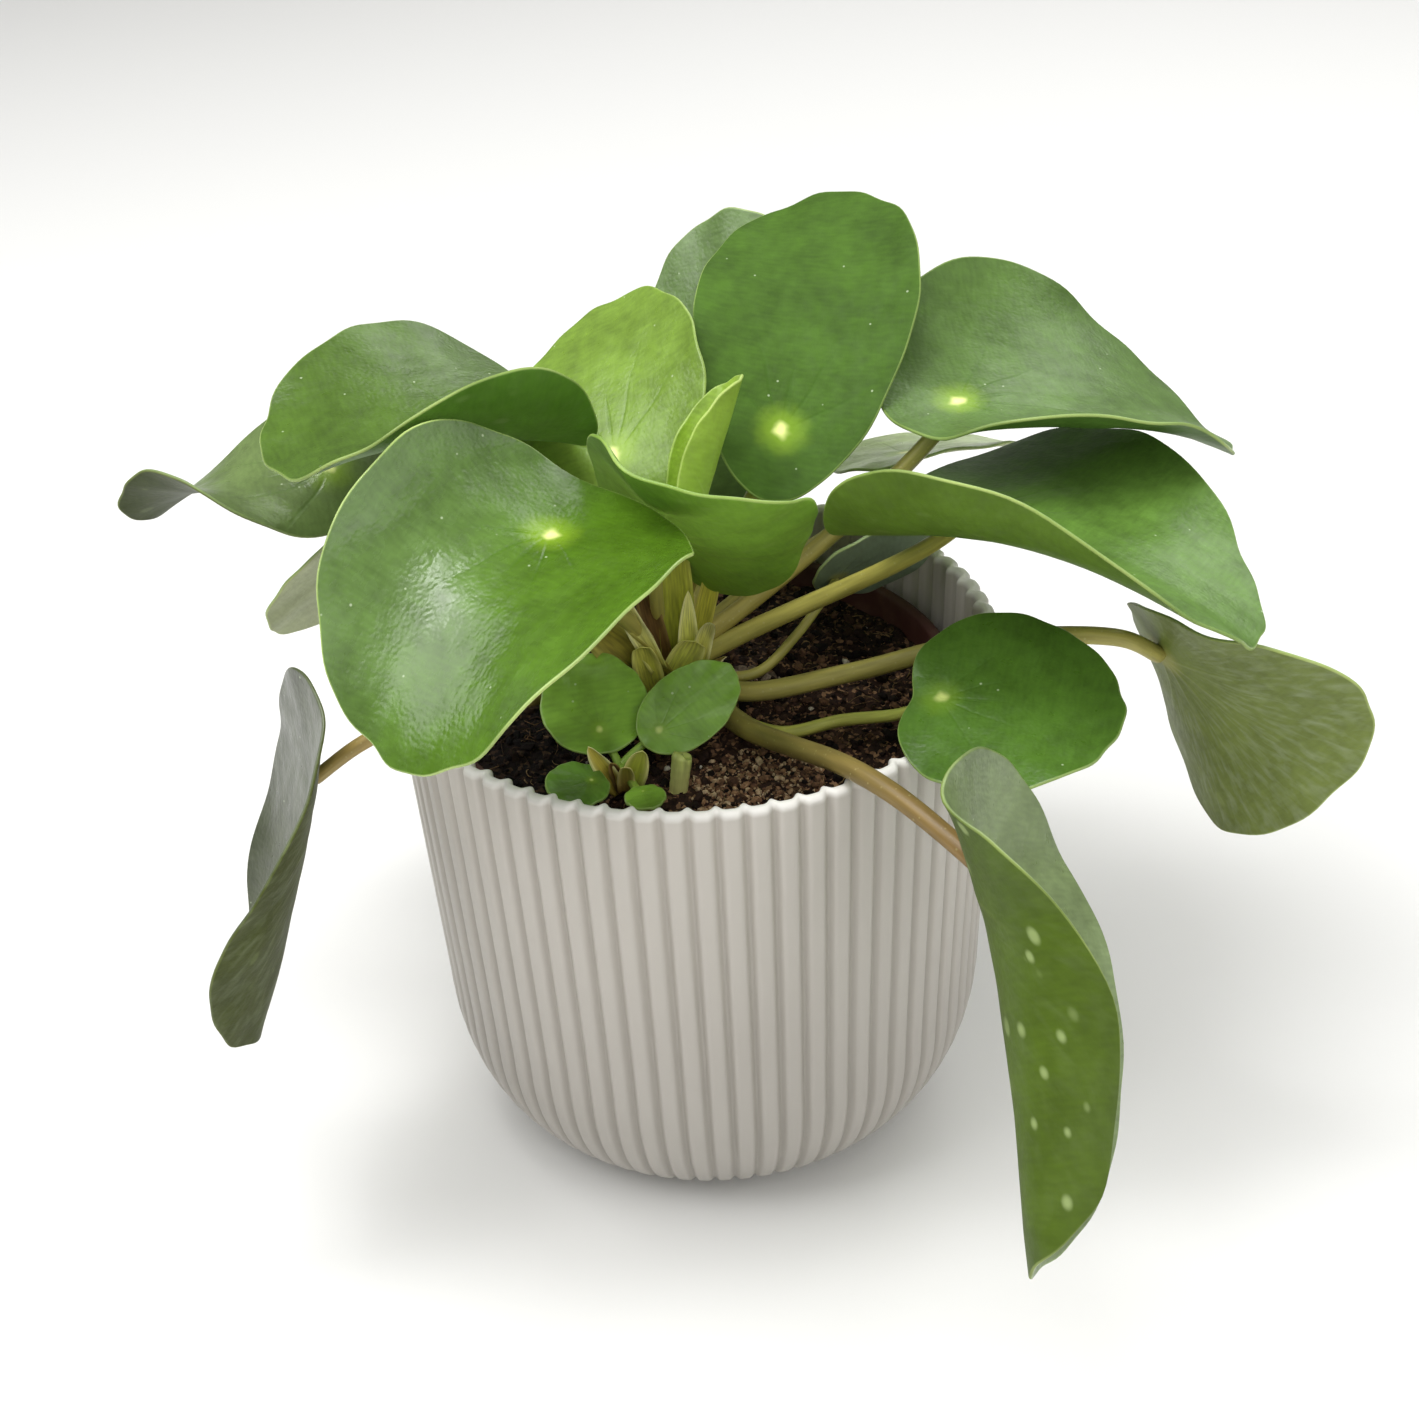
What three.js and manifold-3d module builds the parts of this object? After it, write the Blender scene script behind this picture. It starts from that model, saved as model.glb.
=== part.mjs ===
// Potted pilea: a fluted cache pot with a nursery pot, soil, one stem with long stalks, peltate
// blades and a young plant beside the stem. Millimetres, +Z up, origin at the centre of the pot's base.
import * as THREE from 'three';
import { mergeVertices } from 'three/addons/utils/BufferGeometryUtils.js';
import Module from 'manifold-3d';

const wasm = await Module();
wasm.setup();

const RAD = Math.PI / 180;
const GAP = 0.3; // clearance between pieces that touch

// Outer pot
const POT_HEIGHT = 125;
const RIM_RADIUS = 69;
const SHOULDER_HEIGHT = 41; // the wall is nearly straight above it and rounds in below it
const SHOULDER_RADIUS = 65.4;
const BASE_RADIUS = 38.5;
const FOOT_RADIUS = 36.5; // flat disc that the pot stands on
const ROUNDING = 2.2; // power of the rounding below the shoulder
const WALL = 3;
const FLOOR = 3;
const FLUTES = 72;
const FLUTE_DEPTH = 1.5; // at the rim, less where the pot is narrower
const FIRST_GROOVE = 2 * RAD; // angle of one groove from the front
const FLAT_BASE = FOOT_RADIUS + 1; // the wall is fluted outside this radius
const OUTSIDE_LEVELS = [1.5, 6, 14, 26, SHOULDER_HEIGHT, 84, POT_HEIGHT];
const INSIDE_LEVELS = [POT_HEIGHT, SHOULDER_HEIGHT, 22, 10];

// Nursery pot
const NURSERY_BASE = FLOOR + GAP;
const NURSERY_TOP = 113.5;
const NURSERY_BASE_RADIUS = 41;
const NURSERY_RIM_RADIUS = 58;
const NURSERY_WALL = 1.4;
const LIP_HEIGHT = 6;
const LIP_WIDTH = 1.6; // how far the lip stands out from the wall
const DRAIN_RADIUS = 4;
const DRAIN_CIRCLE = 28;
const DRAINS = 6;
const NURSERY_SIDES = 48;
const DRAIN_SIDES = 10;

// Soil
const SOIL_LEVEL = 107.5;
const SOIL_RELIEF = 0.9;
const SOIL_MOUND = 2; // rise round the main stem
const MOUND_RADIUS = 22;
const SOIL_RINGS = 7;
const SOIL_SPOKES = 36;
const HOLE_SIDES = 14; // of the holes that the stems stand in

// Main stem
const STEM_PLACE = [-7, 8];
const STEM_BOTTOM = 96;
const STEM_TOP = 121;
const STEM_RADIUS = 6;
const STEM_TAPER = 0.8; // share of the radius that is left at the top
const STEM_SIDES = 14;
const STIPULES = 9; // pointed scales at the foot of the stalks
const STIPULE_LENGTH = 13;
const STIPULE_WIDTH = 5;
const STIPULE_PLACE = 0.75; // share of the stem's radius
const STIPULE_FOOT = 112;
const STIPULE_TURN = 0.3; // radians from +X to the first one
const STIPULE_LEAN = 18 * RAD;
const STIPULE_MORE_LEAN = 8 * RAD; // of every second one
const SCALE_SIDES = 6;
const SCALE_FLATNESS = 0.3; // thickness of a scale as a share of its width

// Blades
const BLADE_THICKNESS = 0.8;
const BLADE_RINGS = 4;
const BLADE_SPOKES = 20;
const NOTCH_SPREAD = 0.3; // half angle of the notch at the base edge, radians
const STALK_SIDES = 7;
const STALK_STEPS = 10;

// A blade is placed by the spot where its stalk joins it. Its heading turns the tip from +X toward +Y, its pitch
// lifts the tip and its roll lifts the left edge. hub is the share of the length behind that spot. bend is how far
// the base and the tip droop, cup how far the edges rise: left and right at the base, left and right at the tip.
// twist turns the blade about its midrib from end to end. egg narrows the tip half. The stalk starts in the stem at
// root and either goes through the points of via, or leaves in the direction and reach of leave and comes to the
// blade from the side that reach points to, square on from below where no reach is given. Angles in degrees.
const BLADES = [
  { name: 'front_left', at: [-28, -33, 172], heading: -124, pitch: 1, roll: -6, length: 81, width: 72, hub: 0.25,
    bend: [-6, 60], cup: [17, 76, 44, 32], twist: 9, egg: 0.2,
    root: [-10, 3, 116], leave: [0, -11, 22], radius: 1.9, color: 0x3f7a22 },
  { name: 'upper_left', at: [-44, 18, 172], heading: 199, pitch: 16, roll: -3, length: 71, width: 84, hub: 0.3,
    bend: [5, 26], cup: [105, 0, 49, 31], twist: -3, egg: 0.25,
    root: [-10, 7, 117], leave: [-8, -9, 22], radius: 1.8, color: 0x5f8c33 },
  { name: 'far_left', at: [-82, 31, 158], heading: 183, pitch: -10, roll: -45, length: 62, width: 40, hub: 0.22,
    bend: [0, -24], cup: [3, 7, 5, 7], twist: 141, egg: -0.05,
    root: [-10, 9, 114], leave: [-18, 9, 20], radius: 1.6, color: 0x6f8a66 },
  { name: 'left_back', at: [-69, 72, 117], heading: 194, pitch: -19, roll: 44, length: 67, width: 60, hub: 0.31,
    bend: [0, 15], cup: [0, 0, 0, 0], twist: 4, egg: 0.05,
    root: [-10, 10, 114], leave: [-16, 21, 26], reach: [8, -12, 12], radius: 1.6, color: 0x7d8f5c },
  { name: 'left_hanging', at: [-85, -37, 117], heading: -122, pitch: -71, roll: 37, length: 88, width: 61,
    hub: 0.29, bend: [-16, -16], cup: [35, -30, 53, 82], twist: 48, egg: -0.13,
    root: [-10, 6, 114], via: [[-38, -16, 121], [-60, -32, 128.5], [-72, -37, 126]], radius: 1.8,
    color: 0x77816b },
  { name: 'centre_left', at: [-16, 22, 161], heading: 97, pitch: 32, roll: -28, length: 62, width: 55, hub: 0.26,
    bend: [0, 19], cup: [19, 21, 13, 12], twist: -15, egg: 0.05,
    root: [-9, 10, 118], leave: [2, 7, 18], radius: 1.6, color: 0x86ad46 },
  { name: 'young_folded', at: [3, -1, 158], heading: 48, pitch: 59, roll: -51, length: 39, width: 28, hub: 0.22,
    bend: [0, 0], cup: [115, 70, 115, 75], twist: 0, egg: 0.05,
    root: [-6, 7, 118], leave: [5, 3, 14], reach: [2, 6, -8], radius: 1.2, color: 0x7fa83c },
  { name: 'centre_tall', at: [22, 19, 166], heading: 71, pitch: 40, roll: 14, length: 85, width: 51, hub: 0.2,
    bend: [3, 22], cup: [28, 27, 6, 6], twist: -29, egg: -0.2,
    root: [-5, 10, 118], leave: [12, 7, 18], radius: 1.9, color: 0x5a8a2a },
  { name: 'centre_back', at: [15, 58, 150], heading: 95, pitch: 52, roll: -32, length: 72, width: 56, hub: 0.28,
    bend: [0, 0], cup: [0, 0, 0, 0], twist: -5, egg: 0.05,
    root: [-7, 11, 116], leave: [16, 39, 0], reach: [5, 16, -10], radius: 1.6, color: 0x74926a },
  { name: 'upper_right', at: [62, 23, 169], heading: 10, pitch: 1, roll: 6, length: 84, width: 84, hub: 0.21,
    bend: [-4, 34], cup: [68, 59, 9, 27], twist: -7, egg: 0.1,
    root: [-5, 9, 114], leave: [23, 3, 15], reach: [-10, -4, -14], radius: 2.1, color: 0x6b8f55 },
  { name: 'right_front', at: [59, -9, 157], heading: -37, pitch: 13, roll: 0, length: 93, width: 91, hub: 0.23,
    bend: [-6, 43], cup: [-15, 67, 44, 60], twist: -20, egg: 0.45,
    root: [-5, 7, 112], leave: [26, 6, 12], reach: [-10, 8, -16], radius: 2.1, color: 0x557f2d },
  { name: 'right_back', at: [54, 59, 138], heading: 45, pitch: -11, roll: -18, length: 59, width: 49, hub: 0.3,
    bend: [8, 14], cup: [0, 10, 0, 0], twist: 13, egg: 0.05,
    root: [-5, 10, 113], leave: [18, 15, 16], radius: 1.5, color: 0x93a37a },
  { name: 'right_hanging', at: [105, -11, 120], heading: -41, pitch: -41, roll: -57, length: 62, width: 85,
    hub: 0.23, bend: [-8, -3], cup: [31, -3, 35, 12], twist: -45, egg: -0.1,
    root: [-4, 4, 113], via: [[10, -5, 112.5], [35, -8, 118], [63, -13, 127.5], [91, -20, 131]], radius: 2.2,
    color: 0x7c8157 },
  { name: 'round', at: [51, -40, 131], heading: -19, pitch: 3, roll: 18, length: 48, width: 49, hub: 0.2,
    bend: [2, 6], cup: [9, 7, 1, 3], twist: -7, egg: 0.1, notch: 0.35,
    root: [-4, 4, 112], via: [[8, -14, 111.5], [18, -21, 111.5], [31, -22, 114.5], [43, -29, 120]], radius: 1.5,
    color: 0x41701f },
  { name: 'front_hanging', at: [54, -90, 125], heading: -83, pitch: -40, roll: -52, length: 100, width: 69,
    hub: 0.23, bend: [-28, 10], cup: [18, -3, 33, 268], twist: 2, egg: 0.05, rings: 6, spokes: 28,
    root: [-5, 4, 113], via: [[10, -21, 113.5], [19, -37, 119], [30, -60, 128.6], [39, -72, 129]], radius: 2.4,
    color: 0x6d8a34 },
  { name: 'centre_raised', at: [-6, -11, 161], heading: -54, pitch: -14, roll: -58, length: 58, width: 66,
    hub: 0.33, bend: [20, -90], cup: [6, -10, -7, 21], twist: 37, egg: 0.05,
    root: [-8, 4, 118], leave: [0, -1, 15], reach: [-2, -6, -13], radius: 1.6, color: 0x6a8f38 },
  { name: 'small_back', at: [34, 20, 127], heading: 8, pitch: 16, roll: -54, length: 31, width: 30, hub: 0.2,
    bend: [0, 0], cup: [0, 0, 0, 0], twist: -7, egg: 0.05,
    root: [-4, 7, 112], via: [[5, 3, 111.6], [14, 4, 111.8], [23, 10, 117]], radius: 1.3, color: 0x647c5c },
];
const SQUARE_REACH = 12; // reach of a stalk that comes square on to the blade

// Young plant beside the stem
const SPROUT_PLACE = [-18, -31];
const SPROUT_RADIUS = 2.2;
const SPROUT_TOP = 113;
const SPROUT_BLADES = [
  { name: 'sprout_left', at: [-22, -25, 118], heading: 102, pitch: 32, roll: -2, length: 25, width: 24, hub: 0.24 },
  { name: 'sprout_right', at: [-9, -27, 118], heading: 35, pitch: 19, roll: 40, length: 27, width: 17, hub: 0.18 },
  { name: 'sprout_low', at: [-24, -40, 115], heading: -149, pitch: 5, roll: -10, length: 14, width: 14, hub: 0.25 },
  { name: 'sprout_tiny', at: [-13, -44, 114], heading: -76, pitch: 1, roll: 0, length: 9, width: 9, hub: 0.25 },
];
const SPROUT_RINGS = 3;
const SPROUT_SPOKES = 14;
const SPROUT_FORK = 2; // how far below its top the young stem's stalks start
const SPROUT_STALK_RADIUS = 0.9;
const SPROUT_STALK_BOW = 2; // how far below the blade a stalk turns toward it
const SPROUT_STALK_STEPS = 5;
const BUDS = 5;
const BUD_LENGTH = 6;
const BUD_WIDTH = 3.4;
const BUD_SINK = 1; // depth of a bud's foot below the young stem's top
const BUD_LEAN = 25 * RAD;
const STUB_PLACE = [-5, -36];
const STUB_TOP = 118;
const STUB_RADIUS = 2.3;

const finishes = {
  whitePlastic: new THREE.MeshStandardMaterial({ color: 0xf1efea, roughness: 0.45, metalness: 0 }),
  brownPlastic: new THREE.MeshStandardMaterial({ color: 0x6b3a2c, roughness: 0.6, metalness: 0 }),
  peat: new THREE.MeshStandardMaterial({ color: 0x2b211c, roughness: 1, metalness: 0 }),
  stalk: new THREE.MeshStandardMaterial({ color: 0x96905a, roughness: 0.5, metalness: 0 }),
  sproutGreen: new THREE.MeshStandardMaterial({ color: 0x5f9433, roughness: 0.45, metalness: 0 }),
};

// Solid of a closed geometry: doubles merged, slivers at the poles dropped
function solid(geometry) {
  const bare = geometry.clone();
  bare.deleteAttribute('normal');
  bare.deleteAttribute('uv');
  const merged = mergeVertices(bare, 1e-4);
  const index = merged.index.array;
  const kept = [];
  for (let i = 0; i < index.length; i += 3) {
    const [a, b, c] = [index[i], index[i + 1], index[i + 2]];
    if (a !== b && b !== c && c !== a) kept.push(a, b, c);
  }
  return new wasm.Manifold(new wasm.Mesh({
    numProp: 3,
    vertProperties: new Float32Array(merged.attributes.position.array),
    triVerts: new Uint32Array(kept),
  }));
}

function piece(name, body, material) {
  const mesh = body.getMesh();
  const geometry = new THREE.BufferGeometry();
  geometry.setAttribute('position', new THREE.BufferAttribute(mesh.vertProperties, 3));
  geometry.setIndex(new THREE.BufferAttribute(mesh.triVerts, 1));
  geometry.computeVertexNormals();
  const part = new THREE.Mesh(geometry, material);
  part.name = name;
  return part;
}

// The joined body alone: pockets that joining has sealed are filled
function filled(body) {
  return body.decompose().sort((a, b) => b.volume() - a.volume())[0];
}

function upright(geometry) {
  return geometry.rotateX(Math.PI / 2);
}

// Outside radius of the pot at a height: a slight taper down to the shoulder, then a rounding in to the base
function potRadius(z) {
  if (z >= SHOULDER_HEIGHT) {
    const up = (z - SHOULDER_HEIGHT) / (POT_HEIGHT - SHOULDER_HEIGHT);
    return SHOULDER_RADIUS + (RIM_RADIUS - SHOULDER_RADIUS) * up;
  }
  const down = 1 - z / SHOULDER_HEIGHT;
  return BASE_RADIUS + (SHOULDER_RADIUS - BASE_RADIUS) * Math.sqrt(1 - down ** ROUNDING);
}

// Every second column of the lathe is a groove, drawn in by the flute depth in proportion to the radius
function flute(geometry, limit) {
  const position = geometry.attributes.position;
  for (let i = 0; i < position.count; i += 1) {
    const x = position.getX(i);
    const y = position.getY(i);
    const radius = Math.hypot(x, y);
    const turn = (Math.atan2(x, -y) - FIRST_GROOVE) * FLUTES;
    const groove = (1 + Math.cos(turn)) / 2;
    const shrink = radius > limit ? 1 - (FLUTE_DEPTH * groove) / RIM_RADIUS : 1;
    position.setXY(i, x * shrink, y * shrink);
  }
  return geometry;
}

function outerPot() {
  const profile = [new THREE.Vector2(0, 0), new THREE.Vector2(FOOT_RADIUS, 0)];
  for (const z of OUTSIDE_LEVELS) profile.push(new THREE.Vector2(potRadius(z), z));
  for (const z of INSIDE_LEVELS) profile.push(new THREE.Vector2(potRadius(z) - WALL, z));
  profile.push(new THREE.Vector2(potRadius(FLOOR) - WALL, FLOOR), new THREE.Vector2(0, FLOOR));
  const shell = upright(new THREE.LatheGeometry(profile, FLUTES * 2, FIRST_GROOVE));
  return piece('outer_pot', solid(flute(shell, FLAT_BASE)), finishes.whitePlastic);
}

function nurseryRadius(z) {
  const up = (z - NURSERY_BASE) / (NURSERY_TOP - NURSERY_BASE);
  return NURSERY_BASE_RADIUS + (NURSERY_RIM_RADIUS - NURSERY_BASE_RADIUS) * up;
}

function nurseryPot() {
  const lipFoot = NURSERY_TOP - LIP_HEIGHT;
  const floorTop = NURSERY_BASE + NURSERY_WALL;
  const profile = [
    [0, NURSERY_BASE],
    [NURSERY_BASE_RADIUS, NURSERY_BASE],
    [nurseryRadius(lipFoot), lipFoot],
    [nurseryRadius(lipFoot) + LIP_WIDTH, lipFoot],
    [NURSERY_RIM_RADIUS + LIP_WIDTH, NURSERY_TOP],
    [NURSERY_RIM_RADIUS - NURSERY_WALL, NURSERY_TOP],
    [nurseryRadius(floorTop) - NURSERY_WALL, floorTop],
    [0, floorTop],
  ].map(([r, z]) => new THREE.Vector2(r, z));
  let body = solid(upright(new THREE.LatheGeometry(profile, NURSERY_SIDES)));
  for (let i = 0; i < DRAINS; i += 1) {
    const turn = (i * 2 * Math.PI) / DRAINS;
    const depth = 4 * NURSERY_WALL;
    const drain = upright(new THREE.CylinderGeometry(DRAIN_RADIUS, DRAIN_RADIUS, depth, DRAIN_SIDES));
    drain.translate(DRAIN_CIRCLE * Math.cos(turn), DRAIN_CIRCLE * Math.sin(turn), NURSERY_BASE + NURSERY_WALL / 2);
    body = body.subtract(solid(drain));
  }
  return piece('nursery_pot', body, finishes.brownPlastic);
}

// Height of the soil: a mound round the stem and two crossed ripples
function soilHeight(x, y) {
  const away = Math.hypot(x - STEM_PLACE[0], y - STEM_PLACE[1]) / MOUND_RADIUS;
  const ripple = Math.sin(x * 0.21 + y * 0.09) + Math.sin(y * 0.27 - x * 0.13);
  return SOIL_LEVEL + SOIL_MOUND * Math.exp(-away * away) + (SOIL_RELIEF * ripple) / 2;
}

function hole(place, radius, bottom) {
  const height = 2 * (NURSERY_TOP - bottom);
  const plug = upright(new THREE.CylinderGeometry(radius + GAP, radius + GAP, height, HOLE_SIDES));
  return solid(plug.translate(place[0], place[1], bottom - GAP + height / 2));
}

function soil() {
  const bottom = NURSERY_BASE + NURSERY_WALL + GAP;
  const bottomRadius = nurseryRadius(bottom) - NURSERY_WALL - GAP;
  const topRadius = nurseryRadius(SOIL_LEVEL) - NURSERY_WALL - GAP;
  const profile = [new THREE.Vector2(0, bottom), new THREE.Vector2(bottomRadius, bottom)];
  for (let i = SOIL_RINGS; i >= 0; i -= 1) {
    profile.push(new THREE.Vector2((topRadius * i) / SOIL_RINGS, SOIL_LEVEL));
  }
  const heap = upright(new THREE.LatheGeometry(profile, SOIL_SPOKES));
  const position = heap.attributes.position;
  for (let i = 0; i < position.count; i += 1) {
    const [x, y, z] = [position.getX(i), position.getY(i), position.getZ(i)];
    const edge = Math.hypot(x, y) > topRadius - 0.01;
    if (z > bottom + 1 && !edge) position.setZ(i, soilHeight(x, y));
  }
  let body = solid(heap);
  body = body.subtract(hole(STEM_PLACE, STEM_RADIUS, STEM_BOTTOM));
  body = body.subtract(hole(SPROUT_PLACE, SPROUT_RADIUS, STEM_BOTTOM));
  body = body.subtract(hole(STUB_PLACE, STUB_RADIUS, STEM_BOTTOM));
  return piece('soil', body, finishes.peat);
}

// Directions of a blade: along its midrib, to its left and out of its upper face
function bladeAxes(blade) {
  const [heading, pitch, roll] = [blade.heading * RAD, blade.pitch * RAD, blade.roll * RAD];
  const along = new THREE.Vector3(Math.cos(pitch) * Math.cos(heading), Math.cos(pitch) * Math.sin(heading),
    Math.sin(pitch));
  const level = new THREE.Vector3(-Math.sin(heading), Math.cos(heading), 0);
  const up = new THREE.Vector3().crossVectors(along, level);
  const left = level.clone().multiplyScalar(Math.cos(roll)).addScaledVector(up, Math.sin(roll));
  const face = up.clone().multiplyScalar(Math.cos(roll)).addScaledVector(level, -Math.sin(roll));
  return { along, left, face };
}

// End of an arc of a given length that turns by an angle: how far it goes and how far it rises
function arc(length, angle) {
  if (Math.abs(angle) < 1e-6) return [length, 0];
  return [(length * Math.sin(angle)) / angle, (length * (1 - Math.cos(angle))) / angle];
}

// Point of a blade's middle layer, at a distance along the midrib and a distance to the left
function bladePoint(blade, axes, forward, sideways) {
  const { length, width, hub } = blade;
  const [baseBend, tipBend] = (blade.bend ?? [0, 0]).map((v) => v * RAD);
  const cup = (blade.cup ?? [0, 0, 0, 0]).map((v) => v * RAD);
  const front = forward >= 0;
  const droop = front ? (tipBend * forward) / (length * (1 - hub)) : (-baseBend * forward) / (length * hub);
  const [run, fall] = arc(Math.abs(forward), droop);
  const share = forward / length + hub;
  const edge = sideways >= 0 ? cup[0] + (cup[2] - cup[0]) * share : cup[1] + (cup[3] - cup[1]) * share;
  const [out, rise] = arc(Math.abs(sideways), (edge * Math.abs(sideways) * 2) / width);
  const across = Math.sign(sideways) * out;
  const turn = ((blade.twist ?? 0) * RAD * forward) / length;
  const y = across * Math.cos(turn) - rise * Math.sin(turn);
  const h = across * Math.sin(turn) + rise * Math.cos(turn);
  const lean = front ? droop : -droop;
  return new THREE.Vector3(...blade.at)
    .addScaledVector(axes.along, (front ? run : -run) + h * Math.sin(lean))
    .addScaledVector(axes.left, y)
    .addScaledVector(axes.face, -fall + h * Math.cos(lean));
}

// Outline of a blade about its stalk spot: an egg shape, drawn in at the base where there is a notch
function outline(blade, angle) {
  const { length, width, hub } = blade;
  const fromBase = Math.abs(angle - Math.PI) / NOTCH_SPREAD;
  const draw = 1 - (blade.notch ?? 0) * Math.exp(-fromBase * fromBase);
  const forward = length * (0.5 - hub) + (length / 2) * Math.cos(angle);
  const sideways = (width / 2) * Math.sin(angle) * (1 - (blade.egg ?? 0) * Math.cos(angle));
  return [forward * draw, sideways * draw];
}

// Both faces of a blade on one polar grid, half the thickness to each side of the middle layer
function bladeSolid(blade, rings, spokes) {
  const axes = bladeAxes(blade);
  const small = 0.05;
  const upper = [];
  const lower = [];
  const addPoint = (forward, sideways) => {
    const point = bladePoint(blade, axes, forward, sideways);
    const ahead = bladePoint(blade, axes, forward + small, sideways).sub(
      bladePoint(blade, axes, forward - small, sideways));
    const aside = bladePoint(blade, axes, forward, sideways + small).sub(
      bladePoint(blade, axes, forward, sideways - small));
    const normal = ahead.cross(aside).normalize().multiplyScalar(BLADE_THICKNESS / 2);
    upper.push(...point.clone().add(normal).toArray());
    lower.push(...point.sub(normal).toArray());
  };
  addPoint(0, 0);
  for (let ring = 1; ring <= rings; ring += 1) {
    for (let spoke = 0; spoke < spokes; spoke += 1) {
      const [forward, sideways] = outline(blade, (spoke * 2 * Math.PI) / spokes);
      addPoint((forward * ring) / rings, (sideways * ring) / rings);
    }
  }
  const count = upper.length / 3;
  const at = (ring, spoke) => 1 + (ring - 1) * spokes + (spoke % spokes);
  const faces = [];
  const both = (a, b, c) => faces.push(a, b, c, a + count, c + count, b + count);
  for (let spoke = 0; spoke < spokes; spoke += 1) {
    both(0, at(1, spoke), at(1, spoke + 1));
    for (let ring = 1; ring < rings; ring += 1) {
      both(at(ring, spoke), at(ring + 1, spoke), at(ring + 1, spoke + 1));
      both(at(ring, spoke), at(ring + 1, spoke + 1), at(ring, spoke + 1));
    }
    const [a, b] = [at(rings, spoke), at(rings, spoke + 1)];
    faces.push(a, a + count, b + count, a, b + count, b);
  }
  const geometry = new THREE.BufferGeometry();
  geometry.setAttribute('position', new THREE.Float32BufferAttribute([...upper, ...lower], 3));
  geometry.setIndex(faces);
  return solid(geometry);
}

function round(radius, sides) {
  const ring = [];
  for (let i = 0; i < sides; i += 1) {
    const turn = (i * 2 * Math.PI) / sides;
    ring.push(new THREE.Vector2(radius * Math.cos(turn), radius * Math.sin(turn)));
  }
  return new THREE.Shape(ring);
}

function tube(curve, radius, steps = STALK_STEPS) {
  const settings = { steps, extrudePath: curve, curveSegments: 1 };
  return solid(new THREE.ExtrudeGeometry(round(radius, STALK_SIDES), settings));
}

// A stalk leaves the stem at its root and ends a hair short of the blade's underside, further off where it
// comes in at a slant
function stalk(blade) {
  const { face } = bladeAxes(blade);
  const hub = new THREE.Vector3(...blade.at);
  const root = new THREE.Vector3(...blade.root);
  const stops = (blade.via ?? []).map((stop) => new THREE.Vector3(...stop));
  let reach = face.clone().multiplyScalar(-SQUARE_REACH);
  if (blade.via) reach = stops.at(-1).clone().sub(hub);
  if (blade.reach) reach = new THREE.Vector3(...blade.reach);
  const off = BLADE_THICKNESS / 2 + GAP + blade.radius * Math.sin(reach.angleTo(face));
  const end = hub.clone().addScaledVector(face, -off);
  if (blade.via) return tube(new THREE.CatmullRomCurve3([root, ...stops, end]), blade.radius);
  const second = root.clone().add(new THREE.Vector3(...blade.leave));
  const third = end.clone().add(reach);
  return tube(new THREE.CubicBezierCurve3(root, second, third, end), blade.radius);
}

// A flat pointed scale that stands on its foot and leans outward
function scale(length, width, foot, heading, lean) {
  const cone = upright(new THREE.ConeGeometry(width / 2, length, SCALE_SIDES)).translate(0, 0, length / 2);
  cone.scale(SCALE_FLATNESS, 1, 1).rotateY(lean).rotateZ(heading).translate(...foot);
  return solid(cone);
}

function stemWithStalks() {
  const height = STEM_TOP - STEM_BOTTOM;
  const trunk = upright(new THREE.CylinderGeometry(STEM_RADIUS * STEM_TAPER, STEM_RADIUS, height, STEM_SIDES));
  let body = solid(trunk.translate(STEM_PLACE[0], STEM_PLACE[1], STEM_BOTTOM + height / 2));
  for (const blade of BLADES) body = body.add(stalk(blade));
  for (let i = 0; i < STIPULES; i += 1) {
    const heading = (i * 2 * Math.PI) / STIPULES + STIPULE_TURN;
    const out = STEM_RADIUS * STIPULE_PLACE;
    const [x, y] = [STEM_PLACE[0] + out * Math.cos(heading), STEM_PLACE[1] + out * Math.sin(heading)];
    const lean = STIPULE_LEAN + STIPULE_MORE_LEAN * (i % 2);
    body = body.add(scale(STIPULE_LENGTH, STIPULE_WIDTH, [x, y, STIPULE_FOOT + (i % 3)], heading, lean));
  }
  return piece('main_stem_with_stalks', filled(body), finishes.stalk);
}

function sprout() {
  const foot = new THREE.Vector3(...SPROUT_PLACE, STEM_BOTTOM);
  const top = new THREE.Vector3(...SPROUT_PLACE, SPROUT_TOP);
  let body = tube(new THREE.LineCurve3(foot, top), SPROUT_RADIUS, 1);
  for (const blade of SPROUT_BLADES) {
    const { face } = bladeAxes(blade);
    const root = new THREE.Vector3(...SPROUT_PLACE, SPROUT_TOP - SPROUT_FORK);
    const end = new THREE.Vector3(...blade.at).addScaledVector(face, -BLADE_THICKNESS / 2 - GAP);
    const bow = end.clone().addScaledVector(face, -SPROUT_STALK_BOW);
    const curve = new THREE.QuadraticBezierCurve3(root, bow, end);
    body = body.add(tube(curve, SPROUT_STALK_RADIUS, SPROUT_STALK_STEPS));
  }
  for (let i = 0; i < BUDS; i += 1) {
    const heading = (i * 2 * Math.PI) / BUDS;
    body = body.add(scale(BUD_LENGTH, BUD_WIDTH, [...SPROUT_PLACE, SPROUT_TOP - BUD_SINK], heading, BUD_LEAN));
  }
  return piece('sprout_stem', filled(body), finishes.sproutGreen);
}

function stub() {
  const foot = new THREE.Vector3(...STUB_PLACE, STEM_BOTTOM);
  const line = new THREE.LineCurve3(foot, new THREE.Vector3(...STUB_PLACE, STUB_TOP));
  return piece('stem_stub', tube(line, STUB_RADIUS, 1), finishes.stalk);
}

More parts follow.
